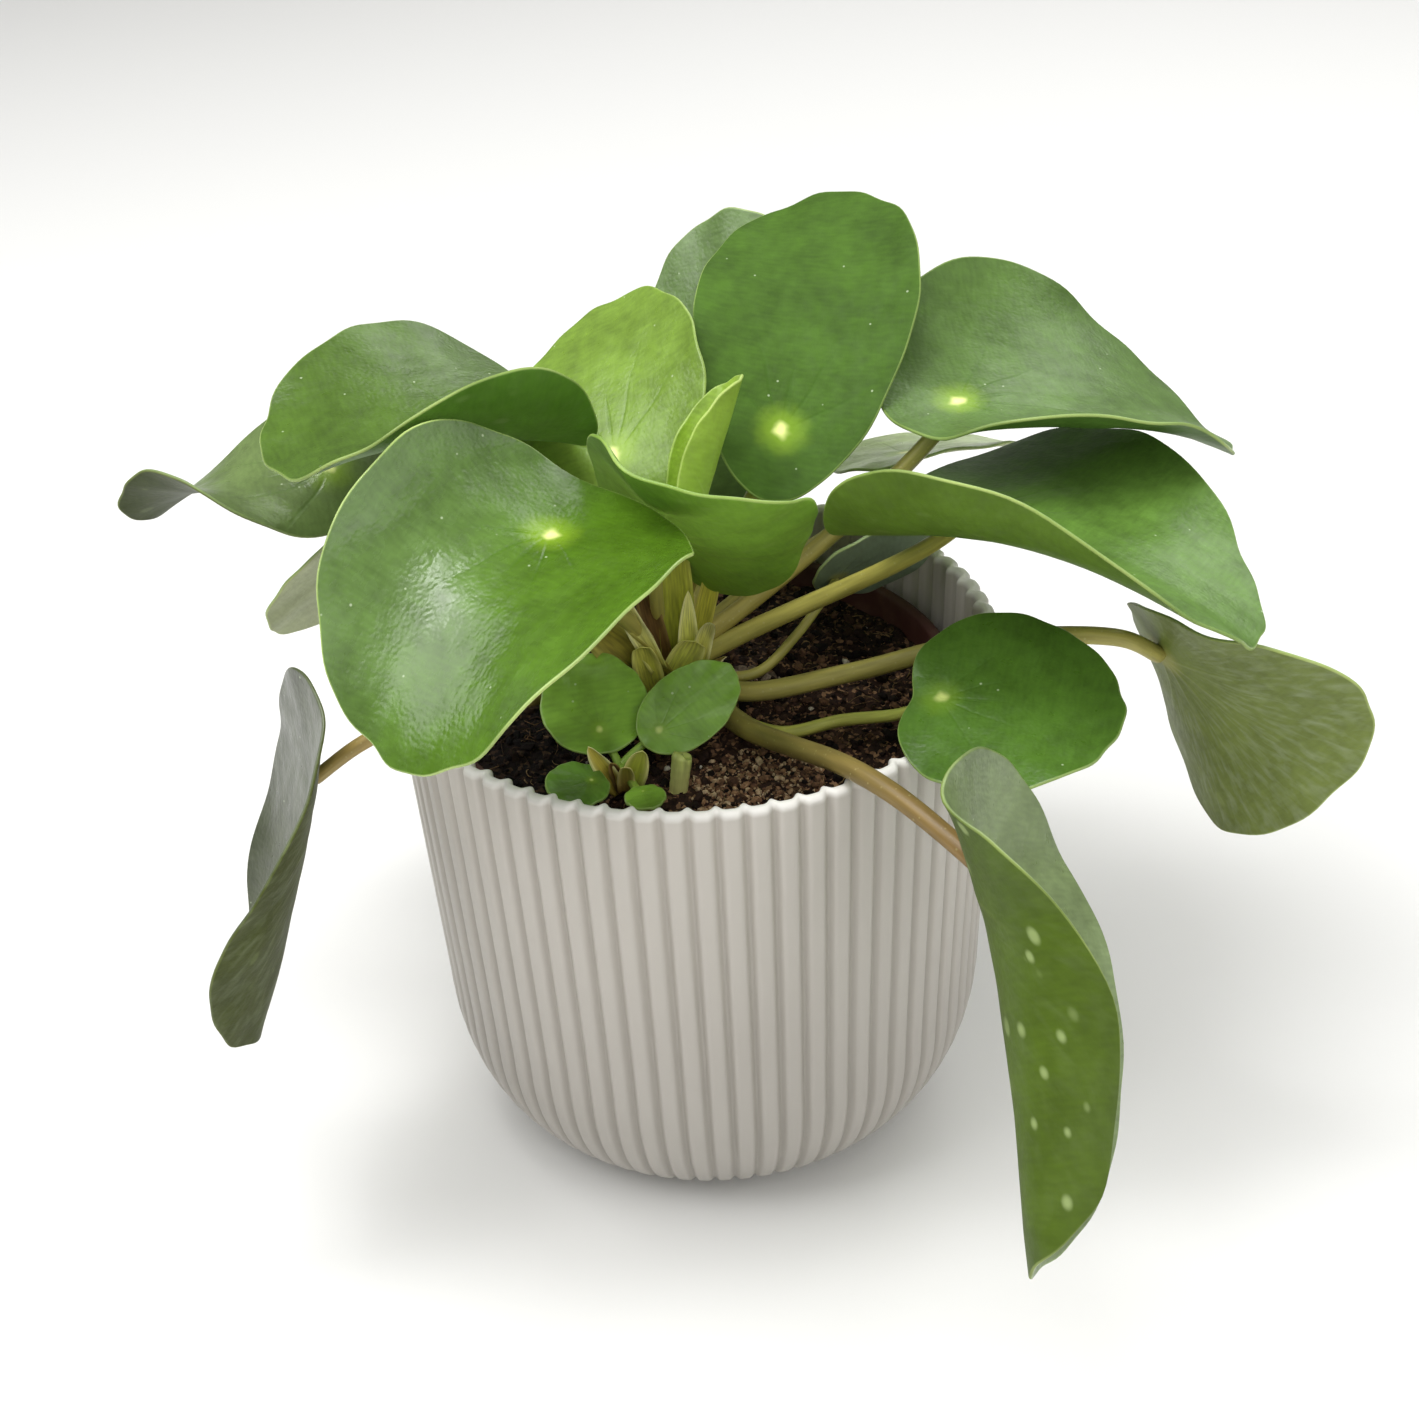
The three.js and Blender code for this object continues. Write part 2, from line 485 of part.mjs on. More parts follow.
const plant = new THREE.Group();
plant.add(outerPot(), nurseryPot(), soil(), stemWithStalks(), sprout(), stub());
for (const blade of BLADES) {
  const material = new THREE.MeshStandardMaterial({ color: blade.color, roughness: 0.4, metalness: 0 });
  const body = bladeSolid(blade, blade.rings ?? BLADE_RINGS, blade.spokes ?? BLADE_SPOKES);
  plant.add(piece(`leaf_${blade.name}`, body, material));
}
for (const blade of SPROUT_BLADES) {
  plant.add(piece(`leaf_${blade.name}`, bladeSolid(blade, SPROUT_RINGS, SPROUT_SPOKES), finishes.sproutGreen));
}

export default plant;
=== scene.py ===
"""Looks of a potted pilea: a fluted white pot, a brown nursery pot, peat, one stem with long stalks, round
blades that are carried from beneath, and a young plant beside the stem.

Blender works in metres here. The origin is the centre of the pot's base, +Z is up and -Y is the side that the
camera sees. The plant's own table is in millimetres and is turned to metres by MM where a mesh is made."""

import math

import bpy
import numpy as np
from mathutils import Matrix, Vector


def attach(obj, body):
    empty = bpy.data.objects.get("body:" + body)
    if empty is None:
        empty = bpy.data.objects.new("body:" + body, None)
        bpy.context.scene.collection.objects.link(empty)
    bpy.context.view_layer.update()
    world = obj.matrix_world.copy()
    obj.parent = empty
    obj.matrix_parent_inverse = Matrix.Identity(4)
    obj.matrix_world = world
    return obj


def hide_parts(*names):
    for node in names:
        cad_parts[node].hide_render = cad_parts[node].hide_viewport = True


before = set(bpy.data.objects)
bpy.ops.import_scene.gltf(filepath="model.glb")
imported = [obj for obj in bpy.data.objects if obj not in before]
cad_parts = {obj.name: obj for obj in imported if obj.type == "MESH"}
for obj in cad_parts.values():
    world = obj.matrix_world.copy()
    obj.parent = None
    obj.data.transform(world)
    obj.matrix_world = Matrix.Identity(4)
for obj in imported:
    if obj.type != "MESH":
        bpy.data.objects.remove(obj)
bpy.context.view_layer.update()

MM = 0.001
BODY = "root"

# Outer pot, in millimetres as everything down to the young plant
POT_HEIGHT = 125
RIM_RADIUS = 69
RIM_ROUND = 1.5
SHOULDER_HEIGHT = 41
SHOULDER_RADIUS = 65.4
BASE_RADIUS = 38.5
FOOT_RADIUS = 36.5
BASE_CURVE = 2.2  # power of the curve from the shoulder in to the base, where 2 is an ellipse
WALL = 3
FLUTES = 72
FLUTE_DEPTH = 1.5
FLUTE_COLUMNS = 14  # of the mesh, to each flute
FLUTE_SHARPNESS = 3.5  # above 1 the ribs are broad and the grooves between them narrow
FIRST_GROOVE = math.radians(2)

# Nursery pot
NURSERY_BASE = 3.3
NURSERY_TOP = 113.5
NURSERY_BASE_RADIUS = 41
NURSERY_RIM_RADIUS = 58
NURSERY_WALL = 1.4
LIP_HEIGHT = 6
LIP_WIDTH = 1.6
LIP_ROUND = 0.9

# Soil
SOIL_BOTTOM = 5
SOIL_BASE_RADIUS = 38
SOIL_SIDE_RADIUS = 54
SOIL_LEVEL = 107.5
SOIL_RELIEF = 0.9
SOIL_MOUND = 2
MOUND_RADIUS = 22
LUMP_LIFT = 0.3  # how far a crumb stands out of the peat, as a share of its size
SOIL_RADIUS = 55.4

# Main stem
STEM_PLACE = (-7, 8)
STEM_BOTTOM = 96
STEM_TOP = 121
STEM_RADIUS = 6

# All blades
BLADE_THICKNESS = 0.8
USUAL_SIZE = 70  # a smaller blade has a dimple, veins and swells that are smaller in step
HUB_DIMPLE = 0.6
HUB_LENGTH = 60  # a shorter blade has hub colours that are smaller in step
STALK_GAP = 0.3
SQUARE_REACH = 12  # how far from a blade its stalk turns square to it, where the row gives no reach
NOTCH_SPREAD = 0.3
VEIN_ANGLES = (0.0, 0.46, 1.05)  # radians from the midrib where the main veins leave the hub
VEIN_SWEEP = 0.006  # how much they turn toward the tip with each millimetre
EDGE_STEPS = (1.6, 0.9, 0.5, 0.3, 0.17, 0.08, 0.02, 0.0)  # distances of the last rings from the edge
UV_SPAN = 200  # millimetres of blade that the unit square of its UV map covers
SHEEN_PAINT = "8c9a80"  # the greyish painted sheen on a blade's right side, which stands for a reflection

# What a blade has where its row doesn't say: glow is how bright the hub and its veins are, marks how plain
# the water marks beneath are, edge how pale the edge line is, and streaks how streaked the underside is.
USUAL_LOOKS = {"glow": 1.0, "marks": 0.2, "edge": 0.5, "streaks": 0.08}

# A blade is placed by the spot where its stalk joins it. heading turns the tip from +X toward +Y, pitch lifts
# the tip and roll lifts the left edge. hub is the share of the length behind that spot. bend is how far the
# base and the tip droop, cup how far the edges rise: left and right at the base, left and right at the tip.
# twist turns the blade about its midrib, egg widens the half toward the base, and notch draws the edge in
# behind the stalk. A stalk runs from root through via, or else leaves by leave and arrives from reach. Angles
# are in degrees. upper and under are the colours of the two faces. matt takes from the upper face's gloss,
# bloom lays a greyish painted sheen on its right side, which stands for a reflection, relief raises its
# swells and patchy lays patches of painted highlight and painted shade on its colour.
BLADES = [
    dict(name="front_left", at=(-28, -33, 172), heading=-124, pitch=1, roll=-6, length=81, width=72, hub=0.25,
         bend=(-6, 60), cup=(17, 76, 44, 32), twist=9, egg=0.2,
         root=(-10, 3, 116), leave=(0, -11, 22), radius=1.9, upper="4c6e18", under="5c7c26",
         edge=0.85, painted_sheen=0.14, matt=-0.07),
    dict(name="upper_left", at=(-44, 18, 172), heading=199, pitch=16, roll=-3, length=71, width=84, hub=0.3,
         bend=(5, 26), cup=(105, 0, 49, 31), twist=-3, egg=0.25,
         root=(-10, 7, 117), leave=(-8, -9, 22), radius=1.8, upper="4a6620", under="527a26"),
    dict(name="far_left", at=(-82, 31, 158), heading=183, pitch=-10, roll=-45, length=62, width=40, hub=0.22,
         bend=(0, -24), cup=(3, 7, 5, 7), twist=141, egg=-0.05,
         root=(-10, 9, 114), leave=(-18, 9, 20), radius=1.6, upper="647844", under="3c4620",
         edge=0.25),
    dict(name="left_back", at=(-69, 72, 117), heading=194, pitch=-19, roll=44, length=67, width=60, hub=0.31,
         bend=(0, 15), twist=4,
         root=(-10, 10, 114), leave=(-16, 21, 26), reach=(8, -12, 12), radius=1.6,
         upper="6f8a4a", under="9ca57c"),
    dict(name="left_hanging", at=(-85, -37, 117), heading=-122, pitch=-71, roll=37, length=88, width=61,
         hub=0.29, bend=(-16, -16), cup=(35, -30, 53, 82), twist=48, egg=-0.13,
         root=(-10, 6, 114), via=((-38, -16, 121), (-60, -32, 128.5), (-72, -37, 126)), radius=1.8,
         upper="484e3a", under="3c4410", edge=0.1, glow=0.0, streaks=0.3),
    dict(name="centre_left", at=(-16, 22, 161), heading=97, pitch=32, roll=-28, length=62, width=55, hub=0.26,
         bend=(0, 19), cup=(19, 21, 13, 12), twist=-15,
         root=(-9, 10, 118), leave=(2, 7, 18), radius=1.6, upper="729034", under="86a83e"),
    dict(name="young_folded", at=(3, -1, 158), heading=48, pitch=59, roll=-51, length=39, width=28, hub=0.22,
         bend=(0, 0), cup=(115, 70, 115, 75), twist=0,
         root=(-6, 7, 118), leave=(5, 3, 14), reach=(2, 6, -8), radius=1.2, upper="90b03c", under="92b040"),
    dict(name="centre_tall", at=(22, 19, 166), heading=71, pitch=40, roll=14, length=85, width=51, hub=0.2,
         bend=(3, 22), cup=(28, 27, 6, 6), twist=-29, egg=-0.2,
         root=(-5, 10, 118), leave=(12, 7, 18), radius=1.9, upper="42621a", under="62882e",
         matt=0.3),
    dict(name="centre_back", at=(15, 58, 150), heading=95, pitch=52, roll=-32, length=72, width=56, hub=0.28,
         twist=-5, root=(-7, 11, 116), leave=(16, 39, 0), reach=(5, 16, -10), radius=1.6,
         upper="607a42", under="6b8a4c"),
    dict(name="upper_right", at=(62, 23, 169), heading=10, pitch=1, roll=6, length=84, width=84, hub=0.21,
         bend=(-4, 34), cup=(68, 59, 9, 27), twist=-7, egg=0.1,
         root=(-5, 9, 114), leave=(23, 3, 15), reach=(-10, -4, -14), radius=2.1,
         upper="52702e", under="5c7a38", matt=0.06),
    dict(name="right_front", at=(59, -9, 157), heading=-37, pitch=13, roll=0, length=93, width=91, hub=0.23,
         bend=(-6, 43), cup=(-15, 67, 44, 60), twist=-20, egg=0.45,
         root=(-5, 7, 112), leave=(26, 6, 12), reach=(-10, 8, -16), radius=2.1,
         upper="5a7c32", under="5e7c26", matt=0.04),
    dict(name="right_back", at=(54, 59, 138), heading=45, pitch=-11, roll=-18, length=59, width=49, hub=0.3,
         bend=(8, 14), cup=(0, 10, 0, 0), twist=13,
         root=(-5, 10, 113), leave=(18, 15, 16), radius=1.5, upper="a6ba7c", under="a2b078"),
    dict(name="right_hanging", at=(105, -11, 120), heading=-41, pitch=-41, roll=-57, length=62, width=85,
         hub=0.23, bend=(-8, -3), cup=(31, -3, 35, 12), twist=-45, egg=-0.1,
         root=(-4, 4, 113), via=((10, -5, 112.5), (35, -8, 118), (63, -13, 127.5), (91, -20, 131)),
         radius=2.2, upper="748a50", under="6e7c3a", streaks=0.75),
    dict(name="round", at=(51, -40, 131), heading=-19, pitch=3, roll=18, length=48, width=49, hub=0.2,
         bend=(2, 6), cup=(9, 7, 1, 3), twist=-7, egg=0.1, notch=0.35,
         root=(-4, 4, 112), via=((8, -14, 111.5), (18, -21, 111.5), (31, -22, 114.5), (43, -29, 120)),
         radius=1.5, upper="4a6c24", under="5c7c28", glow=0.5),
    dict(name="front_hanging", at=(54, -90, 125), heading=-83, pitch=-40, roll=-52, length=100, width=69,
         hub=0.23, bend=(-28, 10), cup=(18, -3, 33, 268), twist=2,
         root=(-5, 4, 113), via=((10, -21, 113.5), (19, -37, 119), (30, -60, 128.6), (39, -72, 129)),
         radius=2.4, upper="75865a", under="465b0e", marks=1.0, edge=0.35),
    dict(name="centre_raised", at=(-6, -11, 161), heading=-54, pitch=-14, roll=-58, length=58, width=66,
         hub=0.33, bend=(20, -90), cup=(6, -10, -7, 21), twist=37,
         root=(-8, 4, 118), leave=(0, -1, 15), reach=(-2, -6, -13), radius=1.6,
         upper="6a9230", under="76a034"),
    dict(name="small_back", at=(34, 20, 127), heading=8, pitch=16, roll=-54, length=31, width=30, hub=0.2,
         twist=-7,
         root=(-4, 7, 112), via=((5, 3, 111.6), (14, 4, 111.8), (23, 10, 117)), radius=1.3,
         upper="7c967a", under="84967c"),
]

# Stalk colours at the root, above the sheath, along it and under the hub
STALK_STOPS = (0, 0.12, 0.6, 1)
STALK_TONES = {
    "usual": ("bcb058", "b8ae5c", "aaa454", "a0aa4c"),
    "upper_right": ("b0a454", "a89c52", "9e944c", "98984c"),
    "right_front": ("b4ac54", "b2aa58", "aaa24e", "a6a64c"),
    "front_hanging": ("7c7836", "867e3e", "7c6c3a", "84693c"),
    "right_hanging": ("a89e4a", "aca256", "a49a50", "a69e54"),
    "left_hanging": ("7a7040", "8f8048", "a38a50", "a08c50"),
    "round": ("acac4e", "b0ae50", "aeb054", "a8b454"),
    "small_back": ("a8a04c", "aca450", "a69e4c", "a09c50"),
}

# Young plant, and the cut stalk beside it
SPROUT_PLACE = (-18, -31)
SPROUT_RADIUS = 2.2
SPROUT_TOP = 113
SPROUT_STALK_RADIUS = 0.95
SPROUT_REACH = 2.5
SPROUT_GAP = 0.9
# The young blades' colour carries patches of painted highlight and painted shade
SPROUT_LOOKS = dict(upper="78a03a", under="7c9c3c", glow=0.45, relief=2.2, painted_light_patches=0.35)
SPROUT_BLADES = [
    dict(name="sprout_left", at=(-22, -25, 118), heading=102, pitch=32, roll=-2, length=25, width=24,
         hub=0.24),
    dict(name="sprout_right", at=(-9, -27, 118), heading=35, pitch=19, roll=40, length=27, width=17,
         hub=0.18),
    dict(name="sprout_low", at=(-24, -40, 115), heading=-149, pitch=5, roll=-10, length=14, width=14,
         hub=0.25, upper="5c8230"),
    dict(name="sprout_tiny", at=(-13, -44, 114), heading=-76, pitch=1, roll=0, length=9, width=9, hub=0.25),
]
STUB_PLACE = (-5, -36)
STUB_TOP = 116.5
STUB_RADIUS = 2.3
STUB_FOOT_SHIFT = 1.6  # to the left of its place
STUB_LEAN = (2.4, 1.2)  # to the right and to the back, from the foot to the top


# Colours and numbers

def linear(code):
    """sRGB hex to Blender's linear colour."""
    channels = np.array([int(code[i:i + 2], 16) for i in (0, 2, 4)]) / 255
    low = channels / 12.92
    high = ((channels + 0.055) / 1.055) ** 2.4
    return (*np.where(channels <= 0.04045, low, high), 1.0)


def smooth(low, high, value):
    """0 below low, 1 above high and an S curve between."""
    share = np.clip((value - low) / (high - low), 0, 1)
    return share * share * (3 - 2 * share)


def lattice(i, j, seed):
    """A repeatable random number from 0 to 1 for each whole-number place."""
    spin = np.sin(i * 127.1 + j * 311.7 + seed * 74.7) * 43758.5453
    return spin - np.floor(spin)


def noise(x, y, cell, seed=0):
    """Value noise: random numbers on a square lattice with an S curve between them, from -1 to 1."""
    i, j = np.floor(x / cell), np.floor(y / cell)
    across, up = x / cell - i, y / cell - j
    across, up = across * across * (3 - 2 * across), up * up * (3 - 2 * up)
    near = lattice(i, j, seed) * (1 - across) + lattice(i + 1, j, seed) * across
    far = lattice(i, j + 1, seed) * (1 - across) + lattice(i + 1, j + 1, seed) * across
    return 2 * (near * (1 - up) + far * up) - 1


def unit(vectors):
    """Each vector brought to length 1."""
    return vectors / np.linalg.norm(vectors, axis=-1, keepdims=True)


# Meshes

def strip_faces(rows, columns, first=0, closed=True):
    """Quads of a grid whose vertices are numbered row by row, closed round its columns or open."""
    last = columns if closed else columns - 1
    row, column = np.meshgrid(np.arange(rows - 1), np.arange(last), indexing="ij")
    here = first + row * columns + column
    beside = first + row * columns + (column + 1) % columns
    return np.stack([here, beside, beside + columns, here + columns], -1).reshape(-1, 4)


def fan_faces(centre, ring, flip=False):
    """Triangles from one vertex to each side of a ring."""
    beside = np.roll(ring, -1)
    order = [np.full_like(ring, centre), beside, ring] if flip else [np.full_like(ring, centre), ring, beside]
    return np.stack(order, -1)


def make_piece(name, points, faces, finishes, *, uv=None, tints=None, values=None, finish_of=None,
               stands_for=()):
    """A smooth mesh from millimetre points. tints is a colour for each point and values a number for each,
    under its name. finish_of gives the finish of each list in faces, where there are several."""
    mesh = bpy.data.meshes.new(name)
    lists = [group.tolist() for group in faces]
    mesh.from_pydata((points * MM).tolist(), [], [face for group in lists for face in group])
    for finish in finishes:
        mesh.materials.append(finish)
    if finish_of is not None:
        index = np.concatenate([np.full(len(group), place) for group, place in zip(faces, finish_of)])
        mesh.polygons.foreach_set("material_index", index.astype(np.int32))
    mesh.shade_smooth()
    if uv is not None:
        corner = np.zeros(len(mesh.loops), np.int32)
        mesh.loops.foreach_get("vertex_index", corner)
        layer = mesh.uv_layers.new(name="surface")
        layer.uv.foreach_set("vector", uv[corner].astype(np.float32).ravel())
    if tints is not None:
        layer = mesh.attributes.new("tint", "FLOAT_COLOR", "POINT")
        layer.data.foreach_set("color", tints.astype(np.float32).ravel())
    for key, value in (values or {}).items():
        mesh.attributes.new(key, "FLOAT", "POINT").data.foreach_set("value", value.astype(np.float32))
    mesh.update()
    piece = bpy.data.objects.new(name, mesh)
    bpy.context.scene.collection.objects.link(piece)
    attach(piece, BODY)
    if stands_for:
        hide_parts(*stands_for)
    return piece


def lathe(profile, columns):
    """Radii and heights turned about the Z axis. The first and last points lie on the axis and become
    poles."""
    radius, height = np.array(profile, float).T
    angle = np.arange(columns) * 2 * np.pi / columns
    ring = radius[1:-1, None]
    x, y = ring * np.sin(angle), -ring * np.cos(angle)
    z = np.broadcast_to(height[1:-1, None], x.shape)
    points = np.concatenate([np.stack([x, y, z], -1).reshape(-1, 3), [[0, 0, height[0]], [0, 0, height[-1]]]])
    rows = len(radius) - 2
    bottom = np.arange(columns)
    top = (rows - 1) * columns + bottom
    return points, [strip_faces(rows, columns), fan_faces(rows * columns, bottom, flip=True),
                    fan_faces(rows * columns + 1, top)]


# Blades

def blade_axes(blade):
    """Directions along the midrib, to its left and out of the upper face."""
    heading, pitch, roll = (math.radians(blade[key]) for key in ("heading", "pitch", "roll"))
    flat = math.cos(pitch)
    along = np.array([flat * math.cos(heading), flat * math.sin(heading), math.sin(pitch)])
    level = np.array([-math.sin(heading), math.cos(heading), 0])
    above = np.cross(along, level)
    left = level * math.cos(roll) + above * math.sin(roll)
    face = above * math.cos(roll) - level * math.sin(roll)
    return along, left, face


def arc(length, angle):
    """How far an arc of a length goes and how far it rises while it turns by an angle."""
    safe = np.where(np.abs(angle) < 1e-6, 1, angle)
    run = np.where(np.abs(angle) < 1e-6, length, length * np.sin(safe) / safe)
    rise = np.where(np.abs(angle) < 1e-6, 0, length * (1 - np.cos(safe)) / safe)
    return run, rise


def blade_place(blade, forward, sideways):
    """Points of the middle layer: the midrib is two arcs, each cross-section is an arc to each side, and the
    section turns about the midrib in step with the distance along it."""
    along, left, face = blade_axes(blade)
    length, width, hub = blade["length"], blade["width"], blade["hub"]
    base_bend, tip_bend = np.radians(blade.get("bend", (0, 0)))
    cup = np.radians(blade.get("cup", (0, 0, 0, 0)))
    front = forward >= 0
    droop = np.where(front, tip_bend * forward / (length * (1 - hub)), -base_bend * forward / (length * hub))
    run, fall = arc(np.abs(forward), droop)
    share = forward / length + hub
    edge = np.where(sideways >= 0, cup[0] + (cup[2] - cup[0]) * share, cup[1] + (cup[3] - cup[1]) * share)
    out, rise = arc(np.abs(sideways), edge * np.abs(sideways) * 2 / width)
    across = np.sign(sideways) * out
    turn = math.radians(blade.get("twist", 0)) * forward / length
    to_left = across * np.cos(turn) - rise * np.sin(turn)
    lift = across * np.sin(turn) + rise * np.cos(turn)
    lean = np.where(front, droop, -droop)
    ahead = np.where(front, run, -run) + lift * np.sin(lean)
    above = -fall + lift * np.cos(lean)
    moves = ahead[..., None] * along + to_left[..., None] * left + above[..., None] * face
    return np.array(blade["at"]) + moves


def blade_normal(blade, forward, sideways, step=0.05):
    """Unit normals of the middle layer, out of the upper face."""
    ahead = blade_place(blade, forward + step, sideways) - blade_place(blade, forward - step, sideways)
    aside = blade_place(blade, forward, sideways + step) - blade_place(blade, forward, sideways - step)
    return unit(np.cross(ahead, aside))


def outline(blade, angle):
    """The blade's edge about its stalk spot: an egg shape, drawn in at the base where there is a notch."""
    from_base = np.abs(angle - np.pi) / NOTCH_SPREAD
    draw = 1 - blade.get("notch", 0) * np.exp(-from_base ** 2)
    forward = blade["length"] * (0.5 - blade["hub"]) + blade["length"] / 2 * np.cos(angle)
    sideways = blade["width"] / 2 * np.sin(angle) * (1 - blade.get("egg", 0.05) * np.cos(angle))
    return forward * draw, sideways * draw


def blade_size(blade):
    """How large a blade is beside one of the usual size."""
    return min(blade["length"], blade["width"]) / USUAL_SIZE


def vein_distance(forward, sideways):
    """Distance to the nearest main vein in millimetres: each leaves the hub at its angle and sweeps to the
    tip."""
    away = np.hypot(forward, sideways)
    angle = np.abs(np.arctan2(sideways, forward))
    gaps = [np.abs(angle - start + VEIN_SWEEP * away * math.sin(start)) * away for start in VEIN_ANGLES]
    return np.min(gaps, axis=0)


def blade_relief(blade, forward, sideways, share, angle, seed):
    """Height of the sheet above its smooth form in millimetres: a dimple at the hub, soft swells between the
    veins, a shallow gutter along each vein and a wave along the edge."""
    size = blade_size(blade) * blade.get("relief", 1.0)
    away = np.hypot(forward, sideways)
    dimple = -HUB_DIMPLE * size * np.exp(-(away / (5.5 * size)) ** 2)
    swell = 0.4 * size * noise(forward, sideways, 17 * size, seed) * smooth(0.05, 0.4, share)
    swell = swell + 0.12 * size * noise(forward, sideways, 6 * size, seed + 5)
    gutter = -0.14 * size * np.exp(-(vein_distance(forward, sideways) / (2.4 * size)) ** 2)
    gutter = gutter * smooth(2 * size, 9 * size, away) * (1 - smooth(12 * size, 38 * size, away))
    wave = 0.45 * size * share ** 4 * (np.sin(7 * angle + seed) + 0.6 * np.sin(12 * angle + 2.3 * seed))
    return dimple + swell + gutter + wave


def blade_tint(blade, forward, sideways, seed):
    """Colour of the upper face: the row's own, under a greyish painted sheen that comes in toward the right
    side and stands for a reflection, and where the row asks, patches of painted highlight and painted shade."""
    # A greyish painted sheen, which stands for a reflection, comes in toward the right side
    sheen_share = blade.get("painted_sheen", 0) * smooth(8, -22, sideways)[:, None]
    # Patches of painted highlight and painted shade, 6 mm across
    patches = 1 + blade.get("painted_light_patches", 0) * noise(forward, sideways, 6, seed)[:, None]
    return (np.array(linear(blade["upper"])) * (1 - sheen_share) + np.array(linear(SHEEN_PAINT)) * sheen_share) * patches


def make_blade(blade, rings, spokes, seed):
    """Both faces of a blade on one polar grid about its hub, which comes last. Each face stands off the
    middle layer by half the thickness, and that falls to nothing at the edge as a quarter circle does."""
    turn = np.arange(spokes) * 2 * np.pi / spokes
    ripple = 1 + 0.006 * np.sin(9 * turn + seed) + 0.004 * np.sin(17 * turn + 3.1 * seed)
    edge_forward, edge_sideways = (edge * ripple for edge in outline(blade, turn))
    reach = np.hypot(edge_forward, edge_sideways)
    inner = (np.arange(1, rings + 1) / rings) ** 1.2
    inner = inner[:, None] * (1 - EDGE_STEPS[0] / reach)[None, :]
    steps = np.array(EDGE_STEPS[1:])[:, None]
    grid = np.concatenate([inner, 1 - steps / reach[None, :]])

    def with_hub(values, at_hub=0.0):
        return np.concatenate([values.ravel(), [at_hub]])

    forward, sideways = with_hub(grid * edge_forward), with_hub(grid * edge_sideways)
    from_edge = with_hub((1 - grid) * reach, reach.min())
    from_hub = np.hypot(forward, sideways) / min(1, blade["length"] / HUB_LENGTH)
    share, angle = with_hub(grid), with_hub(np.broadcast_to(turn, grid.shape))

    middle = blade_place(blade, forward, sideways)
    normal = blade_normal(blade, forward, sideways)
    half = BLADE_THICKNESS / 2
    thick = half * np.sqrt(1 - np.clip(1 - from_edge / half, 0, 1) ** 2)
    bump = blade_relief(blade, forward, sideways, share, angle, seed)
    upper = middle + normal * (bump + thick)[:, None]
    lower = middle + normal * (bump - thick)[:, None]

    # The lower face has no ring at the edge, because it shares the upper one's
    rows, count = grid.shape[0], grid.size
    points = np.concatenate([upper, lower[:count - spokes], lower[-1:]])
    below = count + 1 + (rows - 2) * spokes + np.arange(spokes)
    outer = (rows - 1) * spokes + np.arange(spokes)
    faces = [strip_faces(rows, spokes)[:, ::-1],
             fan_faces(count, np.arange(spokes)),
             strip_faces(rows - 1, spokes, first=count + 1),
             np.stack([below, np.roll(below, -1), np.roll(outer, -1), outer], -1),
             fan_faces(len(points) - 1, count + 1 + np.arange(spokes), flip=True)]

    source = np.concatenate([np.arange(count + 1), np.arange(count - spokes), [count]])
    forward, sideways = forward[source], sideways[source]
    is_upper = np.arange(len(points))[:, None] <= count
    tints = np.where(is_upper, blade_tint(blade, forward, sideways, seed), linear(blade["under"]))
    values = {key: np.full(len(points), blade.get(key, usual)) for key, usual in USUAL_LOOKS.items()}
    values.update(from_edge=from_edge[source], from_hub=from_hub[source])
    face = cuticle("pilea_cuticle_" + blade["name"], blade["matt"]) if "matt" in blade else CUTICLE
    make_piece("blade_" + blade["name"], points, faces, [face, UNDERSIDE],
               uv=np.stack([forward, sideways], -1) / UV_SPAN + 0.5, tints=tints, values=values,
               finish_of=[0, 0, 1, 1, 1], stands_for=["leaf_" + blade["name"]])


# Stalks

def bezier(start, second, third, end, share):
    """Points of a cubic curve that leaves its start toward second and reaches its end from third."""
    share = share[:, None]
    back = 1 - share
    near = back ** 3 * start + 3 * back ** 2 * share * second
    return near + 3 * back * share ** 2 * third + share ** 3 * end


def run_along(path, power=1):
    """Distance along a path to each of its points, with each step raised to a power."""
    return np.concatenate([[0], np.cumsum(np.linalg.norm(np.diff(path, axis=0), axis=1) ** power)])


def through(stops, share):
    """A smooth path through points: each span is a cubic whose end slopes follow its neighbours, with knots
    spaced by the square root of the distance between points."""
    stops = np.array(stops, float)
    stops = np.concatenate([[2 * stops[0] - stops[1]], stops, [2 * stops[-1] - stops[-2]]])
    knots = run_along(stops, 0.5)
    spans = len(stops) - 3
    place = np.clip(share * spans, 0, spans - 1e-9)
    span = place.astype(int)
    start = [stops[span + k] for k in range(4)]
    knot = [knots[span + k][:, None] for k in range(4)]
    at = knot[1] + (knot[2] - knot[1]) * (place - span)[:, None]

    def between(left, right, low, high):
        return left * (high - at) / (high - low) + right * (at - low) / (high - low)

    first = between(start[0], start[1], knot[0], knot[1])
    second = between(start[1], start[2], knot[1], knot[2])
    third = between(start[2], start[3], knot[2], knot[3])
    return between(between(first, second, knot[0], knot[2]), between(second, third, knot[1], knot[3]),
                   knot[1], knot[2])


def stalk_path(blade, steps):
    """The stalk's centre line from the stem to the blade's lower face at its hub."""
    _, _, face = blade_axes(blade)
    root = np.array(blade["root"], float)
    end = np.array(blade["at"], float) - face * (HUB_DIMPLE * blade_size(blade) + STALK_GAP)
    share = np.linspace(0, 1, steps)
    if "via" in blade:
        return through([root, *blade["via"], end], share)
    reach = np.array(blade["reach"], float) if "reach" in blade else -SQUARE_REACH * face
    return bezier(root, root + np.array(blade["leave"]), end + reach, end, share)


